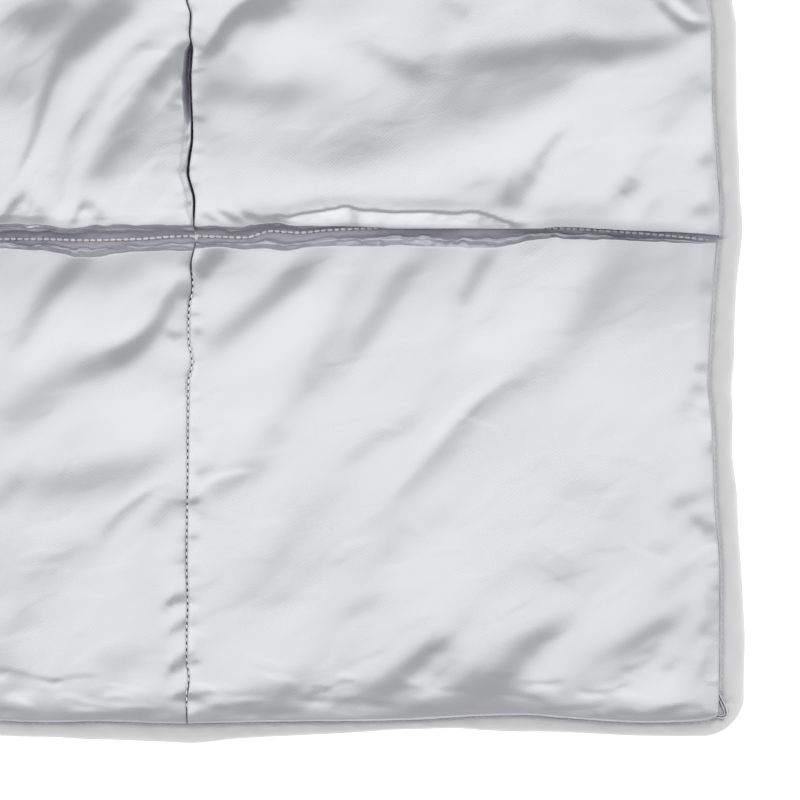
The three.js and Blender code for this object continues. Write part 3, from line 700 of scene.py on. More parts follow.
# Folds at the fine corner. Those read in the photograph are in its pixels; the broad slopes and
# small creases that were added to match its tones are in mm left of and up from the corner.
MAIN_BANDS = (
    # broad slopes
    Band(0.11, 36, ((380, 340), (345, 330), (292, 336))),
    Band(0.06, 40, ((375, 285), (330, 285), (285, 292))),
    Band(0.1, 15, ((265, 330), (258, 305), (250, 285))),
    Band(0.13, 20, ((376, 366), (345, 360), (296, 370))),
    Band(0.04, 24, ((352, 312), (330, 300), (300, 320))),
    Band(0.11, 20, ((256, 350), (236, 328), (210, 318))),
    Band(0.1, 13, ((236, 374), (205, 367), (178, 373))),
    Band(0.05, 22, ((235, 292), (200, 290), (165, 292))),
    Band(0.05, 14, ((132, 292), (120, 272))),
    Band(0.12, 11, ((80, 374), (56, 367), (36, 370))),
    Band(0.08, 12, ((134, 370), (108, 366))),
    Band(0.07, 13, ((140, 348), (112, 344), (84, 345))),
    Band(0.04, 7, ((62, 240), (34, 238), (6, 241))),
    Band(0.05, 20, ((298, 292), (268, 288), (236, 290))),
    Band(0.07, 12, ((132, 306), (110, 306))),
    Band(0.07, 10, ((93, 329), (74, 326))),
    Band(0.05, 22, ((374, 78), (350, 76))),
    Band(0.035, 60, ((374, 300), (336, 300), (290, 302))),
    Band(0.015, 60, ((240, 310), (150, 312), (60, 300))),
    Band(0.07, 4, ((95, 256), (50, 254), (8, 252))),
    Band(0.12, 7, ((152, 31), (135, 22), (116, 26))),
    Band(0.06, 15, ((301, 182), (276, 184))),
    Band(0.05, 12, ((374, 178), (352, 176))),
    Band(0.06, 4.5, ((141, 43), (133, 50), (126, 57))),
    Band(0.05, 12, ((264, 233), (220, 230), (180, 232))),
    Band(0.03, 6, ((300, 241), (282, 240), (262, 241))),
    Band(0.07, 12, ((373, 126), (335, 121), (298, 124))),
    Band(0.05, 14, ((374, 92), (352, 90))),
    Band(0.08, 10, ((127, 283), (119, 272), (112, 262))),
    Band(0.05, 14, ((318, 300), (312, 276))),
    Band(0.05, 20, ((374, 275), (350, 268))),
    Band(0.03, 30, ((374, 158), (335, 145), (300, 140))),
    Band(0.04, 14, ((374, 236), (330, 236))),
    Band(-0.03, 24, ((250, 62), (200, 56), (140, 62))),
    Band(0.05, 16, ((170, 322), (140, 312), (110, 308))),
    Band(0.05, 26, ((165, 290), (135, 286), (108, 296))),
    Band(0.04, 20, ((225, 270), (190, 268), (150, 266))),
    Band(0.04, 30, ((372, 232), (340, 228))),
    Band(-0.03, 24, ((90, 60), (60, 52), (25, 56))),
    # creases above the cross seam
    Band(0.16, 1.5, ((265.5, 262), (262, 259.5), (258.5, 257))),
    Band(-0.14, 1.2, ((262, 264), (257.5, 260.5), (253, 257.5))),
    Band(0.18, 1.5, ((257, 263), (252, 260), (246, 257))),
    Band(-0.12, 1.2, ((250, 263), (245, 260), (240, 257.5))),
    Band(0.16, 1.5, ((243, 262), (238.5, 259.5), (233, 257.5))),
    seen(0.12, 4, (268, 215), (288, 208), (307, 204), (329, 200), (354, 200), (393, 202), (432, 203),
         (471, 205), (502, 207)),
    Band(0.2, 1.1, ((245, 265), (243.5, 261), (241.5, 257.5))),
    Band(0.2, 1.1, ((202.5, 267), (200.5, 263), (198.5, 260))),
    # back left chamber
    seen(0.28, 12.3, (135.5, -9.5), (116, 8), (95, 26), (76, 45), (62, 66.5), widen=0.6),
    seen(0.27, 6, (64, 54), (55, 72), (48, 92), (42, 112), (37, 130), (30, 148), (23, 164),
         (14, 182), half=5.6, widen=0.3, end=0.8, below=0.7),
    seen(0.22, 10, (14, 24), (32, 20), (48, 13), (62, 3), (74, -8)),
    seen(0.11, 13, (-10, 88), (8, 91), (24, 97), (36, 104)),
    seen(0.06, 30, (-10, 58), (20, 60), (48, 70)),
    seen(0.11, 6, (184, 30), (166, 35), (150, 42), (136, 54), (122, 68), (110, 82), (98, 98), (88, 112),
         (78, 130), (70, 146), (64, 162), (60, 178)),
    seen(-0.12, 8, (176, 14), (150, 24), (126, 42), (104, 64), (86, 90), (70, 116), (54, 146),
         (38, 172), end=0.5),
    seen(-0.1, 6, (178, 44), (150, 56), (130, 72), (114, 94), (102, 118), (90, 142), (80, 166),
         (72, 196)),
    seen(0.22, 8, (183, 46), (174, 60), (164, 73), (152, 86), (144, 93), half=6, above=0.8),
    seen(0.13, 10, (150, 86), (138, 104), (126, 124), (114, 146), (104, 162), (92, 178),
         (78, 194), above=0.6),
    seen(0.08, 18, (172, 104), (154, 122), (136, 142), (120, 158)),
    seen(0.14, 5, (182, 94), (176, 103), (171, 113)),
    seen(0.26, 3, (23, 195), (14, 206), (6, 218), (0, 226)),
    seen(0.2, 9, (26, 198), (34, 210), (48, 224), above=0.6),
    seen(0.26, 3, (86, 204), (78, 213), (73, 226)),
    seen(0.22, 6, (87, 203), (97, 211), (106, 223), above=0.6),
    seen(-0.2, 3, (24, 203), (27, 212)),
    seen(-0.2, 3, (84, 209), (86, 218)),
    seen(-0.12, 5, (66, 200), (66, 222)),
    # back right chamber
    seen(0.38, 5.1, (196, 55), (206, 53), (213, 47), (219, 37), (225, 27), (233, 18), (243, 10), (258, 1),
         (274, -7), widen=1.7, above=0.5),
    seen(0.22, 11, (246, 18), (262, 18), (276, 9), (292, -2), above=0.7),
    seen(0.12, 14, (196, 76), (210, 72), (224, 60), (236, 46)),
    seen(0.13, 10, (192, 92), (206, 94), (222, 92), (242, 94), (262, 96), (282, 94), (304, 90),
         (326, 86)),
    seen(0.1, 7, (193, 112), (198, 128), (200, 146)),
    seen(0.115, 18, (232, 168), (260, 161), (292, 158), (330, 155), (370, 148), (402, 138), (432, 126)),
    seen(0.05, 22, (286, 116), (340, 122), (396, 112), (450, 102)),
    seen(-0.08, 18, (246, 66), (280, 54), (320, 50), (350, 62)),
    seen(0.12, 8, (350, 41), (368, 49), (384, 58), (400, 66), (418, 72), (436, 74), above=0.7),
    seen(0.07, 13, (418, -4), (436, 14), (446, 40)),
    seen(0.12, 6, (444, -6), (456, 9), (468, 22)),
    seen(0.21, 11.1, (414, 73), (440, 69), (470, 65), (500, 61), (530, 56), (560, 52), (592, 52),
         (622, 49), (650, 46), (672, 40), (690, 33), (709, 23), widen=0.6, end=1.1),
    seen(0.12, 9, (556, 36), (584, 42), (606, 60), (588, 68)),
    seen(0.13, 14, (432, 86), (470, 92), (520, 90), (566, 80)),
    seen(0.09, 14, (430, 112), (480, 112), (520, 105), (556, 94)),
    seen(-0.1, 12, (260, 186), (320, 188), (380, 182), (440, 170), (500, 150), (548, 124), (590, 100)),
    seen(0.26, 4, (652, -7), (662, 6), (674, 18), (686, 26), (698, 28), (711, 22)),
    seen(-0.18, 3, (670, -3), (682, 10), (695, 20), (707, 20)),
    seen(0.26, 7, (680, -8), (690, 3), (701, 13), (710, 19)),
    seen(0.2, 4, (568, 128), (556, 138), (546, 150), (538, 163), (531, 176), widen=1.6),
    seen(0.2, 10, (536, 168), (526, 182), (518, 196), (512, 214), below=0.6),
    seen(0.14, 3, (509, 172), (508, 192), (509, 214)),
    seen(0.12, 7, (530, 213), (560, 213), (590, 211), (614, 218)),
    seen(0.2, 6, (635, 175), (628, 187), (619, 197)),
    seen(0.09, 5, (661, 196), (650, 210), (641, 221)),
    seen(0.1, 8, (693, 70), (700, 84), (712, 97)),
    seen(0.07, 8, (692, 84), (680, 104), (668, 122), (654, 138)),
    seen(0.15, 5, (716, 156), (706, 160), (699, 169)),
    seen(0.18, 5, (719, 212), (704, 210), (690, 216)),
    seen(0.12, 7, (238, 214), (262, 213), (284, 214), (298, 205)),
    # front left chamber
    seen(0.34, 7, (92, 250), (76, 264), (62, 279), (50, 293), (40, 307), (32, 321), (23, 337), (14, 352),
         (4, 368), end=0.3),
    seen(0.1, 10, (150, 262), (126, 270), (104, 276), (84, 288)),
    seen(0.3, 5.5, (187, 289), (175, 290), (168, 299), (161, 314), (152, 328), (142, 340), (128, 351),
         (112, 360), (96, 366), widen=1.6),
    seen(0.2, 13, (112, 362), (90, 368), (66, 378), (46, 392), (24, 410), (2, 426), (-14, 440)),
    seen(-0.14, 5, (186, 266), (174, 277), (164, 292), (154, 310), (142, 324), (120, 336), (92, 344)),
    seen(0.07, 3, (162, 282), (156, 292), (150, 302)),
    seen(0.2, 5, (186, 339), (176, 337), (167, 332), half=2.7),
    seen(0.12, 5, (186, 396), (176, 395)),
    seen(0.08, 6, (184, 380), (172, 378), (160, 376)),
    seen(0.09, 10, (114, 418), (92, 427), (72, 438), (54, 448)),
    seen(0.16, 10, (188, 435), (172, 446), (158, 457), (140, 464), (120, 468), (98, 471), (76, 478),
         (54, 487), (38, 500), (18, 508), widen=1.4),
    seen(0.13, 8, (26, 474), (14, 484), (2, 498), (-10, 512)),
    seen(0.16, 4, (168, 487), (152, 490), (138, 500), (125, 510), (114, 521), (106, 533),
         (98, 545), widen=1.7, above=0.8),
    seen(-0.1, 3, (162, 481), (142, 490), (124, 502), (110, 516)),
    seen(0.08, 10, (98, 546), (82, 554), (64, 562), (46, 570)),
    seen(0.14, 6, (187, 500), (174, 503), (164, 510), (156, 521), (147, 532)),
    seen(0.07, 14, (64, 566), (40, 578), (20, 590), (-4, 598)),
    seen(0.1, 9, (44, 610), (20, 624), (-4, 638)),
    seen(0.2, 2.55, (187, 560), (177, 562)),
    seen(0.3, 5.5, (187, 594), (176, 598), (166, 608), half=2.7),
    seen(0.26, 3.2, (188, 618), (180, 625), (171, 635)),
    seen(0.34, 7, (189, 653), (181, 662), (169, 674), half=3.2),
    seen(0.3, 4, (187, 692), (181, 698)),
    seen(0.09, 9, (150, 650), (120, 660), (92, 668)),
    seen(0.12, 12, (20, 660), (-10, 664)),
    # front right chamber
    seen(0.28, 6, (227, 249), (213, 258), (203, 271), (198, 284)),
    seen(0.21, 9, (326, 252), (310, 262), (296, 275), (282, 289), (267, 303), (252, 315), (238, 326),
         (222, 337), (208, 348), (196, 360)),
    seen(-0.08, 14, (326, 290), (300, 318), (270, 346), (236, 372)),
    seen(0.11, 9, (374, 256), (362, 276), (350, 296), (340, 318), (330, 338), (318, 360), (309, 378),
         (300, 396), (288, 410), (278, 422)),
    seen(0.16, 8, (428, 254), (410, 271), (396, 288), (384, 306), (374, 322), (364, 338), (354, 353),
         (341, 368)),
    seen(0.06, 10, (342, 366), (326, 382), (308, 396)),
    seen(0.1, 9, (280, 418), (272, 436), (262, 450), (254, 464), (242, 474)),
    seen(0.12, 7, (260, 468), (240, 478), (222, 489), (208, 501)),
    seen(-0.16, 1.8, (193, 498), (205, 483), (220, 475), (234, 472), (252, 470)),
    seen(0.12, 4, (193, 475), (204, 470), (215, 465)),
    seen(0.2, 4, (190, 501), (200, 500)),
    seen(0.2, 3, (192, 335), (203, 332)),
    seen(0.12, 4, (192, 438), (201, 437)),
    seen(0.11, 6, (424, 408), (408, 424), (392, 432), (376, 438), (366, 448), (352, 458), (338, 468)),
    seen(0.06, 9, (352, 470), (344, 484), (330, 498), (318, 508), (306, 516), (296, 530), (286, 544),
         (274, 561), (256, 568)),
    seen(0.04, 10, (300, 544), (284, 566), (262, 584), (238, 600)),
    seen(0.12, 13, (622, 250), (614, 270), (602, 290), (591, 308), (581, 326), (572, 342), (562, 356)),
    seen(0.12, 11, (566, 352), (548, 366), (528, 373), (508, 381), (492, 393), (478, 407), (466, 421),
         (452, 437), (440, 452), (428, 464), (417, 476), (407, 487), (397, 498), (384, 510),
         (370, 520), above=0.45, widen=0.7),
    seen(-0.12, 4, (520, 372), (500, 380), (484, 390), (468, 400), (454, 412), (442, 428), (428, 442),
         (412, 456)),
    seen(-0.08, 14, (556, 296), (530, 320), (500, 344), (466, 364)),
    seen(0.18, 6, (494, 249), (484, 264), (475, 280), (466, 296), (457, 312)),
    seen(0.03, 22, (618, 292), (650, 288), (700, 284), half=16),
    seen(0.03, 12, (600, 326), (640, 318), (680, 306)),
    seen(0.2, 4, (707, 369), (695, 367)),
    seen(0.2, 5, (705, 386), (695, 391)),
    seen(0.1, 6, (692, 399), (685, 411), (679, 420)),
    seen(0.2, 3, (709, 407), (706, 419)),
    seen(0.3, 3, (715, 438), (712, 456)),
    seen(0.12, 5, (714, 286), (702, 288)),
    seen(0.05, 7, (414, 522), (402, 534), (392, 546), (380, 558)),
    seen(0.05, 10, (462, 512), (440, 520), (420, 530)),
    seen(0.07, 5, (387, 593), (370, 602), (352, 612), (339, 619)),
    seen(0.05, 6, (302, 597), (270, 600), (240, 600), (226, 605)),
    seen(0.08, 10, (482, 602), (498, 586), (514, 575), (532, 567), (552, 568), (570, 576), (592, 580)),
    seen(0.05, 10, (560, 484), (590, 490), (610, 500)),
    seen(0.12, 7, (578, 614), (558, 625), (542, 635), (530, 643)),
    seen(0.22, 7.1, (546, 634), (530, 644), (519, 656), (510, 668), (500, 680), (489, 693),
         (478, 706), widen=1.8, end=0.9),
    seen(0.22, 5.1, (446, 640), (431, 649), (418, 660), (408, 669), (398, 679), (387, 692), widen=1.5),
    seen(0.1, 5.6, (436, 636), (448, 650), (458, 668), half=5),
    seen(0.18, 7, (680, 612), (668, 622), (655, 630), (640, 640), (622, 650), (602, 656), end=0.7),
    seen(0.15, 4, (658, 646), (646, 656), (634, 664), (616, 671)),
    seen(-0.12, 2.5, (654, 652), (640, 659), (624, 665)),
    seen(0.04, 12, (612, 660), (590, 668), (568, 680)),
    seen(0.07, 8, (608, 690), (580, 694), (554, 699)),
    seen(0.06, 5, (600, 706), (630, 708), (655, 712), (680, 710), (699, 703), half=3),
    seen(0.12, 4, (673, 661), (665, 673)),
    seen(0.13, 4, (719, 639), (710, 654), (704, 668), (699, 684)),
    seen(0.07, 6, (700, 560), (684, 574), (668, 586), (654, 599)),
    seen(0.12, 5, (719, 622), (706, 628), (698, 635)),
    seen(0.13, 5, (706, 493), (692, 498), (680, 502), (673, 513)),
    seen(0.2, 5, (688, 526), (699, 520), (707, 528), (717, 535)),
    seen(0.06, 6, (661, 538), (657, 557)),
    seen(0.15, 7.9, (304, 678), (282, 692.5), (229, 706)),
    seen(0.12, 6, (392, 684), (372, 690), (350, 690)),
    seen(-0.05, 8.9, (416, 682), (436, 684), (453, 677)),
    seen(-0.04, 8, (300, 706), (320, 704), (336, 706)),
    seen(-0.08, 10, (632, 690), (656, 688), (680, 692)),
    seen(-0.06, 8, (530, 680), (548, 672)),
)


@dataclass
class BandedCloth:
    """A surface that slopes as its bands say, as closely as one surface can.

    The slope along the light is followed, the cloth is kept smooth across it, and it comes back
    to its level a certain length away from a band.
    """

    bands: tuple[Band, ...]
    low: tuple[float, float]
    high: tuple[float, float]
    spacing: float
    stiff: float = 0.12
    memory: float = 90.0
    margin: float = 60.0
    gain: float = 0.97
    heights: Array = field(init=False)

    def __post_init__(self) -> None:
        """Solves for the surface."""
        size = [self.high[i] - self.low[i] + 2 * self.margin for i in (0, 1)]
        counts = [int(math.ceil(s / self.spacing)) for s in size]
        x = self.low[0] - self.margin + np.arange(counts[0]) * self.spacing
        y = self.low[1] - self.margin + np.arange(counts[1]) * self.spacing
        xx, yy = np.meshgrid(x, y)
        slopes = np.zeros_like(xx)
        for band in self.bands:
            slopes += band.slopes(xx, yy)
        inside = np.minimum(
            np.minimum(xx - x[0], x[-1] - xx), np.minimum(yy - y[0], y[-1] - yy)
        )
        slopes *= ease(0, self.margin, inside)
        kx = 2 * math.pi * np.fft.fftfreq(counts[0], self.spacing)[None, :]
        ky = 2 * math.pi * np.fft.fftfreq(counts[1], self.spacing)[:, None]
        along = kx * LIGHT_AXIS[0] + ky * LIGHT_AXIS[1]
        across = kx * LIGHT_AXIS[1] - ky * LIGHT_AXIS[0]
        weight = along**2 + self.stiff * across**2 + 1 / self.memory**2
        surface = self.gain * np.fft.ifft2(-1j * along * np.fft.fft2(slopes) / weight).real
        self.heights = surface * ease(0, self.margin, inside)
        log.info("folds: %d bands, %.1f to %.1f mm", len(self.bands), surface.min(), surface.max())

    def at(self, x: Array, y: Array) -> Array:
        """Height of the surface at places in plan.

        Args:
            x: positions across.
            y: positions along.

        Returns:
            Heights in mm.
        """
        rows, columns = self.heights.shape
        u = np.clip((x - self.low[0] + self.margin) / self.spacing, 0, columns - 1.001)
        v = np.clip((y - self.low[1] + self.margin) / self.spacing, 0, rows - 1.001)
        i, j = u.astype(int), v.astype(int)
        fu, fv = u - i, v - j
        h = self.heights
        front = h[j, i] * (1 - fu) + h[j, i + 1] * fu
        return front * (1 - fv) + (h[j + 1, i] * (1 - fu) + h[j + 1, i + 1] * fu) * fv


def plain_bands(seed: int) -> tuple[Band, ...]:
    """Folds of the same kind for the chambers away from the fine corner.

    Args:
        seed: seed of the random values.

    Returns:
        The bands.
    """
    rng = np.random.default_rng(seed)
    made = []
    for row in range(ROWS):
        for column in range(COLUMNS):
            for _ in range(14):
                left = (column + rng.uniform(0.1, 0.95)) * CHAMBER_WIDTH
                up = (row + rng.uniform(0.05, 0.9)) * CHAMBER_LENGTH
                angle = math.radians(rng.uniform(15, 65))
                length = rng.uniform(50, 170)
                bend = rng.uniform(-0.25, 0.25) * length
                slope = rng.choice([rng.uniform(0.1, 0.38), rng.uniform(-0.2, -0.08)], p=[0.7, 0.3])
                half = rng.uniform(4.5, 11)
                ends = (left + math.cos(angle) * length, up - math.sin(angle) * length)
                middle = ((left + ends[0]) / 2 + bend * math.sin(angle),
                          (up + ends[1]) / 2 + bend * math.cos(angle))
                places = ((left, up), middle, ends)
                if all(a > WINDOW + 20 or b > WINDOW + 20 for a, b in places):
                    made.append(Band(float(slope), float(half), places))
    return tuple(made)


def fine_creases(seed: int) -> tuple[Band, ...]:
    """Short fine creases of the satin near the fine corner.

    Args:
        seed: seed of the random values.

    Returns:
        The creases as narrow bands.
    """
    rng = np.random.default_rng(seed)
    made = []
    for number in range(420):
        left, up = rng.uniform(0, WINDOW, 2)
        angle = math.radians(rng.normal(18, 18))
        slope = rng.uniform(0.015, 0.05) * rng.choice([1, -1])
        if number % 5 == 0:
            up, angle, slope = rng.uniform(0, 25), math.radians(rng.normal(0, 9)), 3.2 * slope
        elif number % 10 == 1:
            left, up = rng.uniform(262, WINDOW), rng.uniform(258, WINDOW)
            angle, slope = math.radians(rng.normal(50, 12)), 1.3 * slope
        length = rng.uniform(8, 34)
        bend = rng.uniform(-0.08, 0.08) * length
        ends = (left + math.cos(angle) * length, up - math.sin(angle) * length)
        middle = ((left + ends[0]) / 2 + bend, (up + ends[1]) / 2 + bend)
        made.append(Band(float(slope), float(rng.uniform(0.8, 1.8)), ((left, up), middle, ends)))
    return tuple(made)


def seam_puckers(seed: int) -> tuple[Band, ...]:
    """Short folds that the stitches draw in beside the long seam and the side edge.

    Args:
        seed: seed of the random values.

    Returns:
        The folds as narrow bands.
    """
    rng = np.random.default_rng(seed)
    made = []
    for up in np.arange(6, WINDOW, 7.5):
        for seam, way in ((CHAMBER_WIDTH, -1), (CHAMBER_WIDTH, 1), (0.0, 1)):
            start = up + rng.uniform(-3.5, 3.5)
            length = rng.uniform(3, 9)
            drift = rng.uniform(-0.7, 0.3) * length
            slope = rng.uniform(0.05, 0.15) * rng.choice((1, -1), p=(0.65, 0.35))
            first = seam - way * 1.5
            path = tuple((first + way * length * t, start + drift * t) for t in (0, 0.5, 1))
            made.append(Band(float(slope), float(rng.uniform(0.9, 1.9)), path))
    return tuple(made)


@dataclass
class FoldField:
    """Everything that makes the filled cloth uneven away from its seams."""

    seed: int = 11
    fine: BandedCloth = field(init=False)
    coarse: BandedCloth = field(init=False)

    def __post_init__(self) -> None:
        """Makes the finely read surface and the plain one for the rest."""
        corner = (HALF_WIDTH, -HALF_LENGTH)
        self.fine = BandedCloth(
            MAIN_BANDS + fine_creases(self.seed) + seam_puckers(self.seed + 4),
            (corner[0] - WINDOW - 20, corner[1]), (corner[0], corner[1] + WINDOW + 20), 0.7,
        )
        self.coarse = BandedCloth(
            plain_bands(self.seed), (-HALF_WIDTH, -HALF_LENGTH), (HALF_WIDTH, HALF_LENGTH), 3.0
        )

    def measured(self, x: Array, y: Array) -> Array:
        """Height of the folds.

        Args:
            x: positions across.
            y: positions along.

        Returns:
            Heights in mm, in the shape of x.
        """
        near = (x > HALF_WIDTH - WINDOW - 80) & (y < WINDOW + 80 - HALF_LENGTH)
        total = self.coarse.at(x, y)
        if near.any():
            total = total + np.where(near, self.fine.at(x, y), 0)
        return total

    def unevenness(self, x: Array, y: Array) -> Array:
        """Soft lumps of the filling, longer along the slant that the folds follow.

        Args:
            x: positions across.
            y: positions along.

        Returns:
            Heights in mm.
        """
        along = (x + y) * 0.7071
        across = (y - x) * 0.7071
        lumps = 0.4 * lattice_noise(along * 0.5, across, 27, self.seed)
        lumps = lumps + 0.08 * lattice_noise(along * 0.5, across, 11, self.seed + 1)
        lumps = lumps + 0.015 * lattice_noise(along * 0.5, across, 4.5, self.seed + 3)
        return lumps + 1.1 * lattice_noise(x, y, 80, self.seed + 2)


def ring_of(ids: Array) -> Array:
    """Ids round the outside of a grid, from its first corner and back to just before it."""
    return np.concatenate([ids[0, :-1], ids[:-1, -1], ids[-1, :0:-1], ids[:0:-1, 0]])


def side_lines(near: tuple[float, ...], length: float, fine: tuple[float, float], step: float,
               coarse: float) -> Array:
    """Grid lines across a chamber, close together beside its seams.

    Args:
        near: distances of the lines beside each side.
        length: chamber size in mm.
        fine: part that is finely divided, from one distance to another.
        step: spacing in the fine part.
        coarse: spacing elsewhere.

    Returns:
        Distances from the low side in mm.
    """
    lines = list(near)
    place = near[-1]
    end = length - near[-1]
    while place < end - 0.6 * coarse:
        inside = fine[0] <= place <= fine[1]
        place += step if inside else coarse
        lines.append(min(place, end))
    while lines[-1] > end - 0.4 * step:
        lines.pop()
    lines += [length - n for n in reversed(near)]
    return np.array(lines)


@dataclass
class ClothMesh:
    """Vertices, faces and cloth coordinates of one piece while it is built."""

    points: list[Array] = field(default_factory=list)
    faces: list[Array] = field(default_factory=list)
    cloth: list[Array] = field(default_factory=list)
    slots: list[Array] = field(default_factory=list)
    # painted light and shade of each point, which the satin's colour is mixed by
    openness: list[Array] = field(default_factory=list)
    count: int = 0

    def grid(
        self, points: Array, cloth: Array, slot: int, flip: bool = False, openness: Array | None = None
    ) -> Array:
        """Adds a grid of points and its quads.

        Args:
            points: rows x columns x 3, in mm.
            cloth: rows x columns x 2, in mm along the cloth.
            slot: index of the finish.
            flip: turns the faces over.
            openness: how much light is painted into each point's colour, 0 where shade is painted deep in a
                seam.

        Returns:
            Ids of the points, rows x columns.
        """
        rows, columns = points.shape[:2]
        ids = self.count + np.arange(rows * columns).reshape(rows, columns)
        self.points.append(points.reshape(-1, 3))
        self.openness.append(np.ones(rows * columns) if openness is None else openness.ravel())
        self.cloth.append(cloth.reshape(-1, 2))
        self.count += rows * columns
        quads = np.stack([ids[:-1, :-1], ids[:-1, 1:], ids[1:, 1:], ids[1:, :-1]], -1).reshape(-1, 4)
        self.add(quads[:, ::-1] if flip else quads, slot)
        return ids

    def add(self, quads: Array, slot: int) -> None:
        """Adds faces.

        Args:
            quads: ids, four per face; a repeated last id makes a triangle.
            slot: index of the finish.
        """
        self.faces.append(quads)
        self.slots.append(np.full(len(quads), slot))

    def build(self, name: str, finishes: list[bpy.types.Material]) -> bpy.types.Object:
        """Turns it into an object.

        Args:
            name: name of the piece.
            finishes: materials, by slot.

        Returns:
            The object, at the origin, in metres.
        """
        points = np.concatenate(self.points) * MM
        quads = np.concatenate(self.faces)
        cloth = np.concatenate(self.cloth)
        slots = np.concatenate(self.slots)
        is_triangle = quads[:, 2] == quads[:, 3]
        sizes = np.where(is_triangle, 3, 4)
        keep = np.ones(quads.shape, bool)
        keep[is_triangle, 3] = False
        loops = quads[keep]
        mesh = bpy.data.meshes.new(name)
        mesh.vertices.add(len(points))
        mesh.vertices.foreach_set("co", points.astype(np.float32).ravel())
        mesh.loops.add(len(loops))
        mesh.loops.foreach_set("vertex_index", loops.astype(np.int32))
        mesh.polygons.add(len(quads))
        starts = np.concatenate([[0], np.cumsum(sizes)[:-1]])
        mesh.polygons.foreach_set("loop_start", starts.astype(np.int32))
        mesh.polygons.foreach_set("loop_total", sizes.astype(np.int32))
        mesh.polygons.foreach_set("material_index", slots.astype(np.int32))
        mesh.update(calc_edges=True)
        mesh.validate()
        mesh.polygons.foreach_set("use_smooth", np.ones(len(mesh.polygons), bool))
        layer = mesh.uv_layers.new(name="cloth")
        layer.data.foreach_set("uv", (cloth[loops] * MM).astype(np.float32).ravel())
        # the painted light and shade that the satin's colour and metallic are mixed by
        painted_light_layer = mesh.attributes.new("open", "FLOAT", "POINT")
        painted_light_layer.data.foreach_set("value", np.concatenate(self.openness).astype(np.float32))
        for finish in finishes:
            mesh.materials.append(finish)
        made = bpy.data.objects.new(name, mesh)
        bpy.context.scene.collection.objects.link(made)
        return made


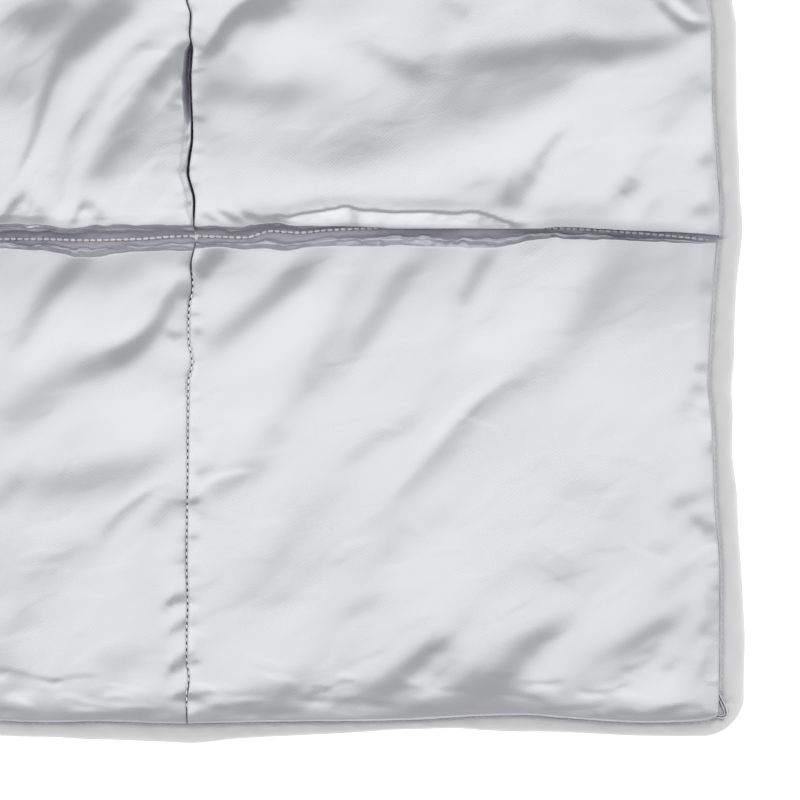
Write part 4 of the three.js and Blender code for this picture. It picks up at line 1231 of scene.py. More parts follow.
@dataclass
class Chamber:
    """One filled chamber of the quilt."""

    plan: QuiltPlan
    column: int
    row: int
    folds: FoldField

    @property
    def fine(self) -> bool:
        """True where the chamber is at the fine corner."""
        return self.column >= COLUMNS - 2 and self.row < 2

    def lines(self) -> tuple[Array, Array]:
        """Grid lines across and along the chamber.

        Returns:
            Distances from its left and from its front seam.
        """
        if not self.fine:
            across = side_lines(COARSE_NEAR_LINES, CHAMBER_WIDTH, (-1, -1), 5.6, 5.6)
            return across, side_lines(COARSE_NEAR_LINES, CHAMBER_LENGTH, (-1, -1), 5.6, 5.6)
        left = (COLUMNS - self.column) * CHAMBER_WIDTH
        across = side_lines(NEAR_LINES, CHAMBER_WIDTH, (left - WINDOW, CHAMBER_WIDTH), 0.9, 5)
        shown = WINDOW - self.row * CHAMBER_LENGTH
        return across, side_lines(NEAR_LINES, CHAMBER_LENGTH, (0, shown), 0.9, 5)

    def net(self, across: Array, along: Array) -> tuple[Array, Array]:
        """Places of the grid between the four seam lines.

        Args:
            across: distances of the lines from the left seam.
            along: distances of the lines from the front seam.

        Returns:
            x and y, rows x columns.
        """
        u, v = across / CHAMBER_WIDTH, along / CHAMBER_LENGTH
        c, r = self.column, self.row
        (x00, y00), (x10, y10) = self.plan.crossing(c, r), self.plan.crossing(c + 1, r)
        (x01, y01), (x11, y11) = self.plan.crossing(c, r + 1), self.plan.crossing(c + 1, r + 1)
        front_x, back_x = x00 + (x10 - x00) * u, x01 + (x11 - x01) * u
        front_y, back_y = self.plan.cross_y(r, front_x), self.plan.cross_y(r + 1, back_x)
        left_y, right_y = y00 + (y01 - y00) * v, y10 + (y11 - y10) * v
        left_x, right_x = self.plan.long_x(c, left_y), self.plan.long_x(c + 1, right_y)
        uu, vv = u[None, :], v[:, None]
        x = (1 - vv) * front_x + vv * back_x + (1 - uu) * left_x[:, None] + uu * right_x[:, None]
        x = x - ((1 - uu) * (1 - vv) * x00 + uu * (1 - vv) * x10 + (1 - uu) * vv * x01 + uu * vv * x11)
        y = (1 - vv) * front_y + vv * back_y + (1 - uu) * left_y[:, None] + uu * right_y[:, None]
        y = y - ((1 - uu) * (1 - vv) * y00 + uu * (1 - vv) * y10 + (1 - uu) * vv * y01 + uu * vv * y11)
        return x, y

    def puckers(self, away: Array, along: Array, seed: int) -> Array:
        """Small folds that start at a seam and fade out.

        Args:
            away: distances from the seam, any shape.
            along: distances along the seam, same shape.
            seed: seed of the random values.

        Returns:
            Heights in mm.
        """
        rng = np.random.default_rng(seed)
        total = np.zeros_like(away)
        for _ in range(PUCKERS):
            at = rng.uniform(along.min(), along.max())
            slant = rng.uniform(-0.8, 0.8)
            width = rng.uniform(4, 7)
            length = rng.uniform(5, 16) * 1.6
            rise = rng.uniform(-1.3, 0.5) * 1.4
            wide = width * (1 + away / (1.5 * length))
            offset = (along - at - away * slant) / wide
            total += rise * np.exp(-offset * offset) * np.exp(-away / length)
        return total

    def surface(self) -> tuple[Array, Array, Array]:
        """The filled top.

        Returns:
            Points in mm, cloth coordinates, and how much light is painted on each point, 0 where shade is
            painted deep in a seam.
        """
        across, along = self.lines()
        x, y = self.net(across, along)
        base_x, base_y = x.copy(), y.copy()
        c, r = self.column, self.row
        seams = self.plan.seams
        from_front = y[:, 0] + HALF_LENGTH
        from_right = HALF_WIDTH - x[0]
        left_lip, right_lip = seams[Line.LONG, c].high_side, seams[Line.LONG, c + 1].low_side
        front_lip, back_lip = seams[Line.CROSS, r].high_side, seams[Line.CROSS, r + 1].low_side
        left, left_up = left_lip.place(across, from_front)
        right, right_up = right_lip.place(CHAMBER_WIDTH - across, from_front)
        front, front_up = front_lip.place(along, from_right)
        back, back_up = back_lip.place(CHAMBER_LENGTH - along, from_right)
        # painted shade deep in the four seams round the chamber
        openness = left_lip.openness(across, left, from_front)
        openness = openness * right_lip.openness(CHAMBER_WIDTH - across, right, from_front)
        openness = openness * front_lip.openness(along, front, from_right).T
        openness = openness * back_lip.openness(CHAMBER_LENGTH - along, back, from_right).T
        turnover = front_lip.turnover(front, from_right).T
        front, front_up, back, back_up = front.T, front_up.T, back.T, back_up.T
        x = x + (left - across[None, :]) - (right - (CHAMBER_WIDTH - across)[None, :])
        y = y + (front - along[:, None]) - (back - (CHAMBER_LENGTH - along)[:, None])
        x, y = self.plan.rounded(x, y)
        share = left_up * right_up * front_up * back_up
        level = self.plan.level(base_x, base_y)
        crown = CROWN + 0.8 * math.sin(self.column * 2 + self.row * 3)
        crown = crown - (FRONT_ROW_DROP if r == 0 else 0.0)
        z = level + (crown - level) * share
        near = ease(0.1, 0.5, share)
        z = z + near * (self.folds.unevenness(x, y) + self.folds.measured(x, y))
        seed = 1000 + 40 * c + r * 7
        rows, columns = x.shape
        wide = np.broadcast_to(across[None, :], (rows, columns))
        deep = np.broadcast_to(along[:, None], (rows, columns))
        sides = ((wide, deep), (CHAMBER_WIDTH - wide, deep), (deep, wide), (CHAMBER_LENGTH - deep, wide))
        for index, (away, run) in enumerate(() if self.fine else sides):
            z = z + near * self.puckers(away, run, seed + index)
        points = np.stack([x, y, z], -1)
        run_x = np.linalg.norm(np.diff(points, axis=1), axis=-1)
        run_y = np.linalg.norm(np.diff(points, axis=0), axis=-1)
        cloth_x = np.concatenate([np.zeros((rows, 1)), np.cumsum(run_x, 1)], 1)
        cloth_y = np.concatenate([np.zeros((1, columns)), np.cumsum(run_y, 0)], 0)
        cloth = np.stack([cloth_x + 300 * c, cloth_y + 280 * r], -1)
        # more painted shade: a faint line where the front lip turns over into the crown, or in the front row
        # a band by the front edge
        if r > 0:
            openness = openness * (1 - 0.16 * turnover)
        else:
            shade = FRONT_SHADE.at(np.clip(from_right, 0, 372))
            openness = openness * (1 - shade[None, :] * np.exp(-((along[:, None] / 13) ** 2)))
        return points, cloth, openness

    def add_to(self, mesh: ClothMesh) -> None:
        """Adds the chamber's top, rim and underside as one closed body.

        Args:
            mesh: what it is added to.
        """
        points, cloth, openness = self.surface()
        top = mesh.grid(points, cloth, 0, openness=openness)
        ring = ring_of(top)
        flat = points.reshape(-1, 3)[ring - top[0, 0]]
        x, y, _ = flat.T
        lower_z = np.minimum(flat[:, 2] - 1.2, np.where(self.on_rim(x, y), 1.2, SEAM_UNDERSIDE))
        lower = np.stack([x, y, lower_z], -1)
        lower_ids = mesh.count + np.arange(len(ring))
        mesh.points.append(lower)
        # the lower ring gets full painted shade, which the back cloth's finish does not read
        mesh.openness.append(np.zeros(len(lower)))
        mesh.cloth.append(cloth.reshape(-1, 2)[ring - top[0, 0]])
        mesh.count += len(ring)
        following = np.roll(np.arange(len(ring)), -1)
        mesh.add(np.stack([ring, lower_ids, lower_ids[following], ring[following]], -1), 1)
        self.add_underside(mesh, lower, lower_ids)

    def on_rim(self, x: Array, y: Array) -> Array:
        """Whether places are on the satin's outer edge.

        Args:
            x: positions across.
            y: positions along.

        Returns:
            True or False for each.
        """
        return (np.abs(x) > HALF_WIDTH - 9) | (np.abs(y) > HALF_LENGTH - 9)

    def add_underside(self, mesh: ClothMesh, lower: Array, lower_ids: Array) -> None:
        """Adds the back cloth, flat where it lies and lifted at the seams.

        Args:
            mesh: what it is added to.
            lower: points of the lower ring.
            lower_ids: their ids.
        """
        shares = np.array([0.02, 0.045, 0.08, 0.13, 0.3, 0.5, 0.7, 0.87, 0.92, 0.955, 0.98])
        u, v = shares[None, :], shares[:, None]
        x, y = self.plan.rounded(*self.net(shares * CHAMBER_WIDTH, shares * CHAMBER_LENGTH))
        edge = np.minimum(np.minimum(u, 1 - u), np.minimum(v, 1 - v))
        z = REST_LEVEL + (SEAM_UNDERSIDE - 1.0) * (1 - ease(0, 0.1, edge)) ** 1.5
        rim = self.on_rim(x, y)
        z = np.where(rim, np.minimum(z, 1.0), z)
        points = np.stack([x, y, z], -1)
        bottom = mesh.grid(points, np.stack([x, y], -1), 1, flip=True)
        inner = ring_of(bottom)
        inner_points = points.reshape(-1, 3)[inner - bottom[0, 0]]
        centre = points.reshape(-1, 3).mean(0)

        def turn(p: Array) -> Array:
            """Angle round the chamber, growing along the ring from its front left corner."""
            q = (p - centre) / (CHAMBER_WIDTH, CHAMBER_LENGTH, 1)
            angle = np.arctan2(q[:, 1], q[:, 0])
            return np.unwrap(angle)

        outer_turn, inner_turn = turn(lower), turn(inner_points)
        outer_turn, inner_turn = outer_turn - outer_turn[0], inner_turn - inner_turn[0]
        outer_ids = np.append(lower_ids, lower_ids[0])
        inner_ids = np.append(inner, inner[0])
        outer_turn = np.append(outer_turn, 2 * math.pi)
        inner_turn = np.append(inner_turn, 2 * math.pi)
        made = []
        i = j = 0
        while i < len(outer_ids) - 1 or j < len(inner_ids) - 1:
            next_outer = outer_turn[i + 1] if i < len(outer_ids) - 1 else math.inf
            next_inner = inner_turn[j + 1] if j < len(inner_ids) - 1 else math.inf
            if next_outer <= next_inner:
                made.append((outer_ids[i], inner_ids[j], outer_ids[i + 1], outer_ids[i + 1]))
                i += 1
            else:
                made.append((outer_ids[i], inner_ids[j], inner_ids[j + 1], inner_ids[j + 1]))
                j += 1
        mesh.add(np.array(made), 1)


@dataclass
class QuiltedBody:
    """The filled body as pieces: four fine chambers and the rest in two halves."""

    plan: QuiltPlan
    folds: FoldField
    satin: bpy.types.Material
    back: bpy.types.Material

    def build(self) -> list[bpy.types.Object]:
        """Returns:
            The objects.
        """
        groups: dict[str, list[tuple[int, int]]] = {}
        for row in range(ROWS):
            for column in range(COLUMNS):
                if column >= COLUMNS - 2 and row < 2:
                    name = f"chamber_{column + 1}_{row + 1}"
                else:
                    name = "front_chambers" if row < ROWS // 2 else "back_chambers"
                groups.setdefault(name, []).append((column, row))
        made = []
        for name, places in groups.items():
            mesh = ClothMesh()
            for column, row in places:
                Chamber(self.plan, column, row, self.folds).add_to(mesh)
            piece = mesh.build(name, [self.satin, self.back])
            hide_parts("quilted_body")
            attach(piece, "root")
            log.info("%s: %d faces", name, len(piece.data.polygons))
            made.append(piece)
        return made


@dataclass
class EdgeBand:
    """The strip of matt cloth round the edge."""

    plan: QuiltPlan
    cloth: bpy.types.Material
    spacing: float = 1.2
    coarse: float = 6.0
    creases: tuple[tuple[float, float, float], ...] = (
        (248.8, 2.4, 0.85), (362.0, 1.8, 0.85), (12.0, 0.5, 1.6), (90.0, 0.25, 2.5), (311.0, 0.3, 3.0),
    )
    creases_end: float = 420.0
    hollows: tuple[tuple[float, float, float, float], ...] = (
        (6.4, -0.9, 0.9, 2.0), (-4.0, 12.2, 0.8, 2.4), (0.3, 14.5, 1.4, 1.7), (-1.6, 10.0, 2.0, 1.7),
        (-2.6, 6.0, 2.0, 1.7), (-0.6, 2.6, 2.4, 1.7), (3.4, 2.4, 2.2, 1.6), (7.0, 0.6, 1.6, 1.6),
        (10.5, -0.4, 0.9, 1.6),
    )

    def reach(self, side: int, along: Array) -> Array:
        """How far the band shows past the satin.

        Args:
            side: 0 front, 1 right, 2 back, 3 left.
            along: distances from the fine corner's side.

        Returns:
            Reaches in mm.
        """
        if side % 2 == 1:
            plain = 12 + 0.5 * lattice_noise(along, along * 0, 40, 60 + side)
            return np.where(along < 420, SIDE_REACH.at(along), plain) if side == 1 else plain
        middle = np.sin(math.pi * along / CHAMBER_WIDTH) ** 2
        plain = 6.8 - 1.2 * middle
        if side == 2:
            return plain + 0.4 * lattice_noise(along, along * 0, 34, 62)
        return np.where(along < 542, FRONT_BAND.at(along), plain)

    def stations(self) -> list[tuple[float, float, float, float, float]]:
        """Points round the satin's edge, counter-clockwise from the front left corner.

        Returns:
            x, y, how far the strip shows past it across and along, and distance along it.
        """
        corners = [self.plan.crossing(0, 0), self.plan.crossing(COLUMNS, 0),
                   self.plan.crossing(COLUMNS, ROWS), self.plan.crossing(0, ROWS)]
        made = []
        travelled = 0.0
        for side in range(4):
            (x0, y0), (x1, y1) = corners[side], corners[(side + 1) % 4]
            length = math.hypot(x1 - x0, y1 - y0)
            places = [0.0]
            while places[-1] < length - 1e-6:
                t = places[-1]
                x, y = x0 + (x1 - x0) * t / length, y0 + (y1 - y0) * t / length
                fine = HALF_WIDTH - x < WINDOW and y + HALF_LENGTH < WINDOW
                places.append(min(length, t + (self.spacing if fine else self.coarse)))
            t = np.array(places) / length
            if side % 2 == 0:
                x = x0 + (x1 - x0) * t
                y = self.plan.cross_y(0 if side == 0 else ROWS, x)
                along = HALF_WIDTH - x
            else:
                y = y0 + (y1 - y0) * t
                x = self.plan.long_x(COLUMNS if side == 1 else 0, y)
                along = y + HALF_LENGTH
            reach = self.reach(side, along)
            out = np.array([(0, -1), (1, 0), (0, 1), (-1, 0)][side], float)
            straight_x, straight_y = x, y
            x, y = self.plan.rounded(x, y)
            reach = reach + (straight_x - x) * out[0] + (straight_y - y) * out[1]
            for k in range(len(t)):
                if k:
                    travelled += math.hypot(x[k] - x[k - 1], y[k] - y[k - 1])
                made.append((x[k], y[k], out[0] * reach[k], out[1] * reach[k], travelled))
            sides = (END_BAND, SIDE_BAND)
            before, after = sides[side % 2], sides[(side + 1) % 2]
            turned = np.array([(0, -1), (1, 0), (0, 1), (-1, 0)][(side + 1) % 4], float)
            steps = 22 if side == 0 else 8
            for k in range(1, steps):
                angle = k / steps * math.pi / 2
                o = out * before * math.cos(angle) + turned * after * math.sin(angle)
                travelled += 12 * math.pi / 2 / steps
                made.append((x[-1], y[-1], o[0], o[1], travelled))
        return [self.turned(*row) for row in made]

    def turned(
        self, x: float, y: float, out_x: float, out_y: float, travelled: float
    ) -> tuple[float, float, float, float, float]:
        """Puts the outer edge on a round corner where the strip turns.

        Args:
            x: place of the satin's edge across.
            y: the same along.
            out_x: how far the strip shows past it across.
            out_y: the same along.
            travelled: distance along the strip.

        Returns:
            The same values with the changed reach.
        """
        px, py = x + out_x, y + out_y
        centre = (HALF_WIDTH + BAND_OUT[0] - BAND_TURN, HALF_LENGTH + BAND_OUT[1] - BAND_TURN)
        beyond = (abs(px) - centre[0], abs(py) - centre[1])
        length = math.hypot(*beyond)
        if min(beyond) > 0 and length > BAND_TURN:
            px = math.copysign(centre[0] + beyond[0] / length * BAND_TURN, px)
            py = math.copysign(centre[1] + beyond[1] / length * BAND_TURN, py)
        return x, y, px - x, py - y, travelled

    def build(self) -> bpy.types.Object:
        """Returns:
            The object.
        """
        x, y, ox, oy, along = np.array(self.stations()).T
        reach = np.hypot(ox, oy)
        ox, oy = ox / reach, oy / reach
        beside = ((-1.6, 8.8), (-0.5, 9.8), (0.15, 10.2), (0.6, 10.3), (1.05, 9.65), (1.5, 10.25))
        rest = (
            (0.08, 10.3), (0.15, 10.3), (0.22, 10.2), (0.3, 10.15), (0.38, 10.1), (0.55, 9.95),
            (0.7, 9.75), (0.82, 9.4), (0.91, 8.8), (0.97, 7.8), (1.0, 6.4), (1.0, 4.2), (0.97, 2.4),
            (0.9, 1.1), (0.7, 0.5), (0.2, 0.5),
        )
        ring = []
        near_corner = (y < self.creases_end - HALF_LENGTH) & (x > HALF_WIDTH - 1)
        for out, height in beside + rest + ((-1.6, 1.2),):
            across = np.full_like(reach, out)
            if (out, height) in rest:
                across = 2.2 + (reach - 2.2) * out
            on_top = height > 6
            loose = np.clip(across, 0, 1)
            bump = 0.55 * loose * lattice_noise(along - 0.6 * across, across, 7, 71)
            bump = bump + 0.5 * loose * lattice_noise(along, across, 28, 72)
            for place, deep, wide in self.creases:
                offset = (y + HALF_LENGTH - place + 0.25 * across) / wide
                bump = bump - np.where(near_corner, deep * np.exp(-(offset**2)), 0)
            for left, up, deep, wide in self.hollows:
                aside = np.hypot(HALF_WIDTH - np.abs(x + ox * across) - left,
                                 HALF_LENGTH - np.abs(y + oy * across) - up)
                bump = bump - deep * np.exp(-((aside / wide) ** 2))
            z = np.maximum(np.full_like(reach, height) + (bump if on_top else 0), 0.15)
            ring.append(np.stack([x + ox * across, y + oy * across, z], -1))
        points = np.stack(ring, 1)
        points = np.concatenate([points, points[:1]], 0)
        mesh = ClothMesh()
        run = np.concatenate([along, [along[-1] + 12]])
        around = np.concatenate([[0], np.cumsum(np.linalg.norm(np.diff(points[0], axis=0), axis=-1))])
        cloth = np.stack([np.broadcast_to(run[:, None], points.shape[:2]),
                          np.broadcast_to(around[None, :], points.shape[:2])], -1)
        closed = np.concatenate([points, points[:, :1]], 1)
        cloth = np.concatenate([cloth, cloth[:, :1]], 1)
        mesh.grid(closed, cloth, 0)
        piece = mesh.build("edge_band_cloth", [self.cloth])
        merge_doubles(piece)
        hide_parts("edge_band")
        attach(piece, "root")
        log.info("edge_band_cloth: %d faces", len(piece.data.polygons))
        return piece


@dataclass
class CornerTucks:
    """The small pleat of satin left over where the edge goes round a corner."""

    satin: bpy.types.Material
    path: tuple[tuple[float, float], ...] = (
        (1.5, 18.5), (1.2, 16.5), (0.5, 14.0), (-0.6, 11.5), (-1.9, 9.0), (-2.7, 6.8), (-3.0, 4.9),
        (-2.3, 3.7), (-0.8, 3.3), (1.2, 3.6), (3.2, 3.4), (5.0, 2.9),
    )
    profile: tuple[tuple[float, float], ...] = (
        (-1.35, -3.0), (-1.3, 0.2), (-1.05, 0.9), (-0.7, 1.2), (-0.4, 0.9), (-0.26, 0.2), (-0.2, -2.2),
        (0.2, -2.2), (0.26, 0.3), (0.4, 1.0), (0.7, 1.4), (1.05, 1.0), (1.3, 0.2), (1.35, -3.0),
    )
    base: float = 10.2

    def build(self) -> bpy.types.Object:
        """Builds the four tucks as one piece.

        Returns:
            The object.
        """
        mesh = ClothMesh()
        plain_path = Band(0, 1, self.path).line() - (HALF_WIDTH, -HALF_LENGTH)
        share = np.linspace(0, 1, len(plain_path))
        size = np.sqrt(np.clip(np.sin(math.pi * share), 0, 1))[:, None]
        across, height = np.array(self.profile + self.profile[:1]).T
        for side_x, side_y in ((1, 1), (-1, 1), (-1, -1), (1, -1)):
            line = plain_path * (side_x, side_y) + (side_x * HALF_WIDTH, -side_y * HALF_LENGTH)
            way = np.gradient(line, axis=0)
            way = way / np.linalg.norm(way, axis=1, keepdims=True)
            right_x, right_y = way[:, 1:], -way[:, :1]
            x = line[:, :1] + right_x * across * size
            y = line[:, 1:] + right_y * across * size
            z = self.base + (height + 0.25 * lattice_noise(x, y, 2.2, 81)) * size
            points = np.stack([x, y, z], -1)
            # painted shade: the pleat's slit is painted dark, its folded tops keep the full colour
            lit = np.broadcast_to(ease(-0.2, 0.9, height)[None, :], x.shape)
            mesh.grid(points, np.stack([x, y], -1), 0, openness=lit)
        piece = mesh.build("corner_tucks", [self.satin])
        merge_doubles(piece)
        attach(piece, "root")
        log.info("corner_tucks: %d faces", len(piece.data.polygons))
        return piece


def merge_doubles(piece: bpy.types.Object) -> None:
    """Joins the points where a grid closes on itself.

    Args:
        piece: object to clean.
    """
    work = bmesh.new()
    work.from_mesh(piece.data)
    bmesh.ops.remove_doubles(work, verts=work.verts, dist=1e-6)
    work.to_mesh(piece.data)
    work.free()


@dataclass
class Wiring:
    """Adds nodes to a tree and joins them."""

    tree: bpy.types.NodeTree

    def feed(self, node: bpy.types.Node, values: dict[str | int, object]) -> None:
        """Fills a node's inputs.

        Args:
            node: the node.
            values: values or other nodes' outputs, by the name or number of the input.
        """
        for name, value in values.items():
            if isinstance(value, bpy.types.NodeSocket):
                self.tree.links.new(value, node.inputs[name])
            else:
                node.inputs[name].default_value = value

    def add(
        self, kind: str, values: dict[str | int, object] | None = None, **settings: object
    ) -> bpy.types.Node:
        """Adds a node.

        Args:
            kind: type of the node.
            values: what goes into its inputs.
            settings: its own settings.

        Returns:
            The node.
        """
        node = self.tree.nodes.new(kind)
        for name, value in settings.items():
            setattr(node, name, value)
        self.feed(node, values or {})
        return node

    def sum(self, kind: str, a: object, b: object = 0.0) -> bpy.types.NodeSocket:
        """Calculates with two sockets or numbers.

        Args:
            kind: the operation.
            a: first value.
            b: second value, if the operation has one.

        Returns:
            The result.
        """
        return self.add("ShaderNodeMath", {0: a, 1: b}, operation=kind).outputs[0]

    def ramp(self, value: bpy.types.NodeSocket, low: float, high: float) -> bpy.types.NodeSocket:
        """Smooth step from 0 to 1.

        Args:
            value: the value.
            low: where the step starts.
            high: where it ends.

        Returns:
            The result.
        """
        values = {"Value": value, "From Min": low, "From Max": high}
        return self.add("ShaderNodeMapRange", values, interpolation_type="SMOOTHSTEP").outputs["Result"]


def started(name: str) -> tuple[bpy.types.Material, Wiring, bpy.types.Node]:
    """Starts a material.

    Args:
        name: its name.

    Returns:
        The material, the wiring of its nodes, and its shader.
    """
    made = bpy.data.materials.new(name)
    made.use_nodes = True
    return made, Wiring(made.node_tree), made.node_tree.nodes["Principled BSDF"]


def stitch_tree() -> bpy.types.GeometryNodeTree:
    """Node tree that puts a stitch on every point of a mesh.

    Returns:
        The tree.
    """
    tree = bpy.data.node_groups.new("stitches", "GeometryNodeTree")
    for name, kind in (
        ("Points", "Geometry"), ("Length", "Float"), ("Width", "Float"), ("Height", "Float"),
        ("Segments", "Int"), ("Rings", "Int"), ("Seed", "Int"), ("Thread", "Material"),
    ):
        tree.interface.new_socket(name, in_out="INPUT", socket_type="NodeSocket" + kind)
    tree.interface.new_socket("Stitches", in_out="OUTPUT", socket_type="NodeSocketGeometry")
    wiring = Wiring(tree)
    given = wiring.add("NodeGroupInput").outputs
    size = wiring.add(
        "ShaderNodeCombineXYZ", {"X": given["Length"], "Y": given["Width"], "Z": given["Height"]}
    )
    halved = wiring.add("ShaderNodeVectorMath", {0: size.outputs[0], "Scale": 0.5}, operation="SCALE")
    turn = wiring.add("GeometryNodeInputNamedAttribute", {"Name": "turn"}, data_type="FLOAT_VECTOR")
    grow = wiring.add("GeometryNodeInputNamedAttribute", {"Name": "grow"}, data_type="FLOAT")
    uneven = wiring.add(
        "FunctionNodeRandomValue",
        {0: (0.9, 0.85, 0.9), 1: (1.06, 1.15, 1.1), "Seed": given["Seed"]}, data_type="FLOAT_VECTOR",
    )
    sized = wiring.add(
        "ShaderNodeVectorMath", {0: halved.outputs[0], 1: uneven.outputs[0]}, operation="MULTIPLY"
    )
    grown = wiring.add(
        "ShaderNodeVectorMath", {0: sized.outputs[0], "Scale": grow.outputs["Attribute"]},
        operation="SCALE",
    )
    ball = wiring.add(
        "GeometryNodeMeshUVSphere",
        {"Segments": given["Segments"], "Rings": given["Rings"], "Radius": 1.0},
    )
    put = wiring.add("GeometryNodeInstanceOnPoints", {
        "Points": given["Points"], "Instance": ball.outputs["Mesh"],
        "Rotation": turn.outputs["Attribute"], "Scale": grown.outputs[0],
    })
    real = wiring.add("GeometryNodeRealizeInstances", {"Geometry": put.outputs["Instances"]})
    smooth = wiring.add("GeometryNodeSetShadeSmooth", {"Geometry": real.outputs["Geometry"]})
    dressed = wiring.add(
        "GeometryNodeSetMaterial",
        {"Geometry": smooth.outputs["Geometry"], "Material": given["Thread"]},
    )
    wiring.add("NodeGroupOutput", {"Stitches": dressed.outputs["Geometry"]})
    return tree


@dataclass
class StitchRow:
    """Stitches of one size, wherever the duvet has them."""

    name: str
    size: tuple[float, float, float]
    segments: int
    rings: int
    seed: int
    places: list[Array] = field(default_factory=list)
    turns: list[Array] = field(default_factory=list)
    sizes: list[Array] = field(default_factory=list)

    def along(self, line: Array, first: float = 0.0, size: float = 1.0) -> None:
        """Puts stitches at even distances along a line.

        Args:
            line: points in mm.
            first: distance of the first stitch.
            size: how much larger than usual they are.
        """
        steps = np.linalg.norm(np.diff(line, axis=0), axis=-1)
        run = np.concatenate([[0], np.cumsum(steps)])
        at = np.arange(first, run[-1], STITCH_PITCH)
        points = np.stack([np.interp(at, run, line[:, k]) for k in range(3)], -1)
        ahead = np.stack([np.interp(at + 0.8, run, line[:, k]) for k in range(3)], -1)
        behind = np.stack([np.interp(at - 0.8, run, line[:, k]) for k in range(3)], -1)
        way = ahead - behind
        self.places.append(points)
        self.turns.append(np.arctan2(way[:, 1], way[:, 0]))
        self.sizes.append(np.full(len(at), size))

    def knot(self, x: float, y: float, z: float, size: float) -> None:
        """Puts three crossed stitches where the thread is tied.

        Args:
            x: place across.
            y: place along.
            z: height.
            size: how much larger than usual they are.
        """
        self.places.append(np.array([(x, y, z), (x + 0.5, y - 0.4, z + 0.4), (x - 0.3, y - 0.9, z + 0.2)]))
        self.turns.append(np.array([0.3, 1.4, 2.3]))
        self.sizes.append(np.array([size, 0.8 * size, 0.7 * size]))

    def build(self, tree: bpy.types.GeometryNodeTree, thread: bpy.types.Material) -> bpy.types.Object:
        """Args:
            tree: the stitch tree.
            thread: finish of the thread.

        Returns:
            The object.
        """
        places = np.concatenate(self.places) * MM
        mesh = bpy.data.meshes.new(self.name + "_places")
        mesh.vertices.add(len(places))
        mesh.vertices.foreach_set("co", places.astype(np.float32).ravel())
        turns = np.zeros((len(places), 3), np.float32)
        turns[:, 2] = np.concatenate(self.turns)
        mesh.attributes.new("turn", "FLOAT_VECTOR", "POINT").data.foreach_set("vector", turns.ravel())
        sizes = np.concatenate(self.sizes).astype(np.float32)
        mesh.attributes.new("grow", "FLOAT", "POINT").data.foreach_set("value", sizes)
        carrier = bpy.data.objects.new(self.name + "_carrier", mesh)
        bpy.context.scene.collection.objects.link(carrier)
        modifier = carrier.modifiers.new("stitches", "NODES")
        modifier.node_group = tree
        values = {
            "Length": self.size[0] * MM, "Width": self.size[1] * MM, "Height": self.size[2] * MM,
            "Segments": self.segments, "Rings": self.rings, "Seed": self.seed, "Thread": thread,
        }
        for item in tree.interface.items_tree:
            if item.in_out == "INPUT" and item.name in values:
                modifier[item.identifier] = values[item.name]
        ready = carrier.evaluated_get(bpy.context.evaluated_depsgraph_get())
        made = bpy.data.objects.new(self.name, bpy.data.meshes.new_from_object(ready))
        bpy.context.scene.collection.objects.link(made)
        bpy.data.objects.remove(carrier)
        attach(made, "root")
        log.info("%s: %d stitches, %d faces", self.name, len(places), len(made.data.polygons))
        return made


@dataclass
class Sewing:
    """All the thread that shows."""

    plan: QuiltPlan
    band: EdgeBand
    thread: bpy.types.Material

    def build(self) -> list[bpy.types.Object]:
        """Builds the stitches of the seams and of the band.

        Returns:
            The objects.
        """
        tree = stitch_tree()
        cross = StitchRow("cross_seam_stitches", (3.7, 1.6, 1.5), 6, 5, 3)
        long = StitchRow("long_seam_stitches", (2.6, 0.8, 0.7), 6, 4, 4)
        edge = StitchRow("band_stitches", (2.0, 0.5, 0.45), 6, 4, 5)
        x = np.arange(HALF_WIDTH - 3, -HALF_WIDTH + 3, -1.7)
        for row in range(1, ROWS):
            y = self.plan.cross_y(row, x)
            cross.along(np.stack([x, y, self.plan.level(x, y) + 1.5], -1), 1.2 * row % STITCH_PITCH)
        y = np.arange(-HALF_LENGTH + 3, HALF_LENGTH - 3, 1.7)
        for column in range(1, COLUMNS):
            x = self.plan.long_x(column, y)
            raised = 0.5 + 5.5 * (1 - ease(CHAMBER_LENGTH - 22, CHAMBER_LENGTH - 8, y + HALF_LENGTH))
            long.along(np.stack([x, y, self.plan.level(x, y) + raised], -1), 0.9 * column)
            for row in range(1, ROWS):
                at_x, at_y = self.plan.crossing(column, row)
                cross.knot(at_x, at_y, SEAM_LEVEL + 2.6, 1.2)
        x, y, ox, oy, _ = np.array(self.band.stations()).T
        reach = np.hypot(ox, oy)
        edge.along(np.stack([x + 1.05 * ox / reach, y + 1.05 * oy / reach, 0 * x + 10.05], -1))
        return [row.build(tree, self.thread) for row in (cross, long, edge)]


@dataclass(frozen=True)
class ThreadFinish:
    """Pale twisted thread."""

    colour: tuple[float, float, float, float] = (0.95, 0.94, 0.95, 1)
    shade: tuple[float, float, float, float] = (0.80, 0.79, 0.82, 1)

    def material(self) -> bpy.types.Material:
        """Makes the material.

        Returns:
            The material.
        """
        made, wiring, shader = started("thread")
        place = wiring.add("ShaderNodeTexCoord").outputs["Object"]
        twist = wiring.add("ShaderNodeTexNoise", {"Vector": place, "Scale": 900}).outputs["Fac"]
        tone = wiring.add("ShaderNodeMix", {0: twist, 6: self.shade, 7: self.colour}, data_type="RGBA")
        bump = wiring.add("ShaderNodeBump", {"Strength": 0.4, "Distance": 0.0002, "Height": twist})
        wiring.feed(shader, {
            "Base Color": tone.outputs[2], "Roughness": 0.55, "Normal": bump.outputs["Normal"],
        })
        return made


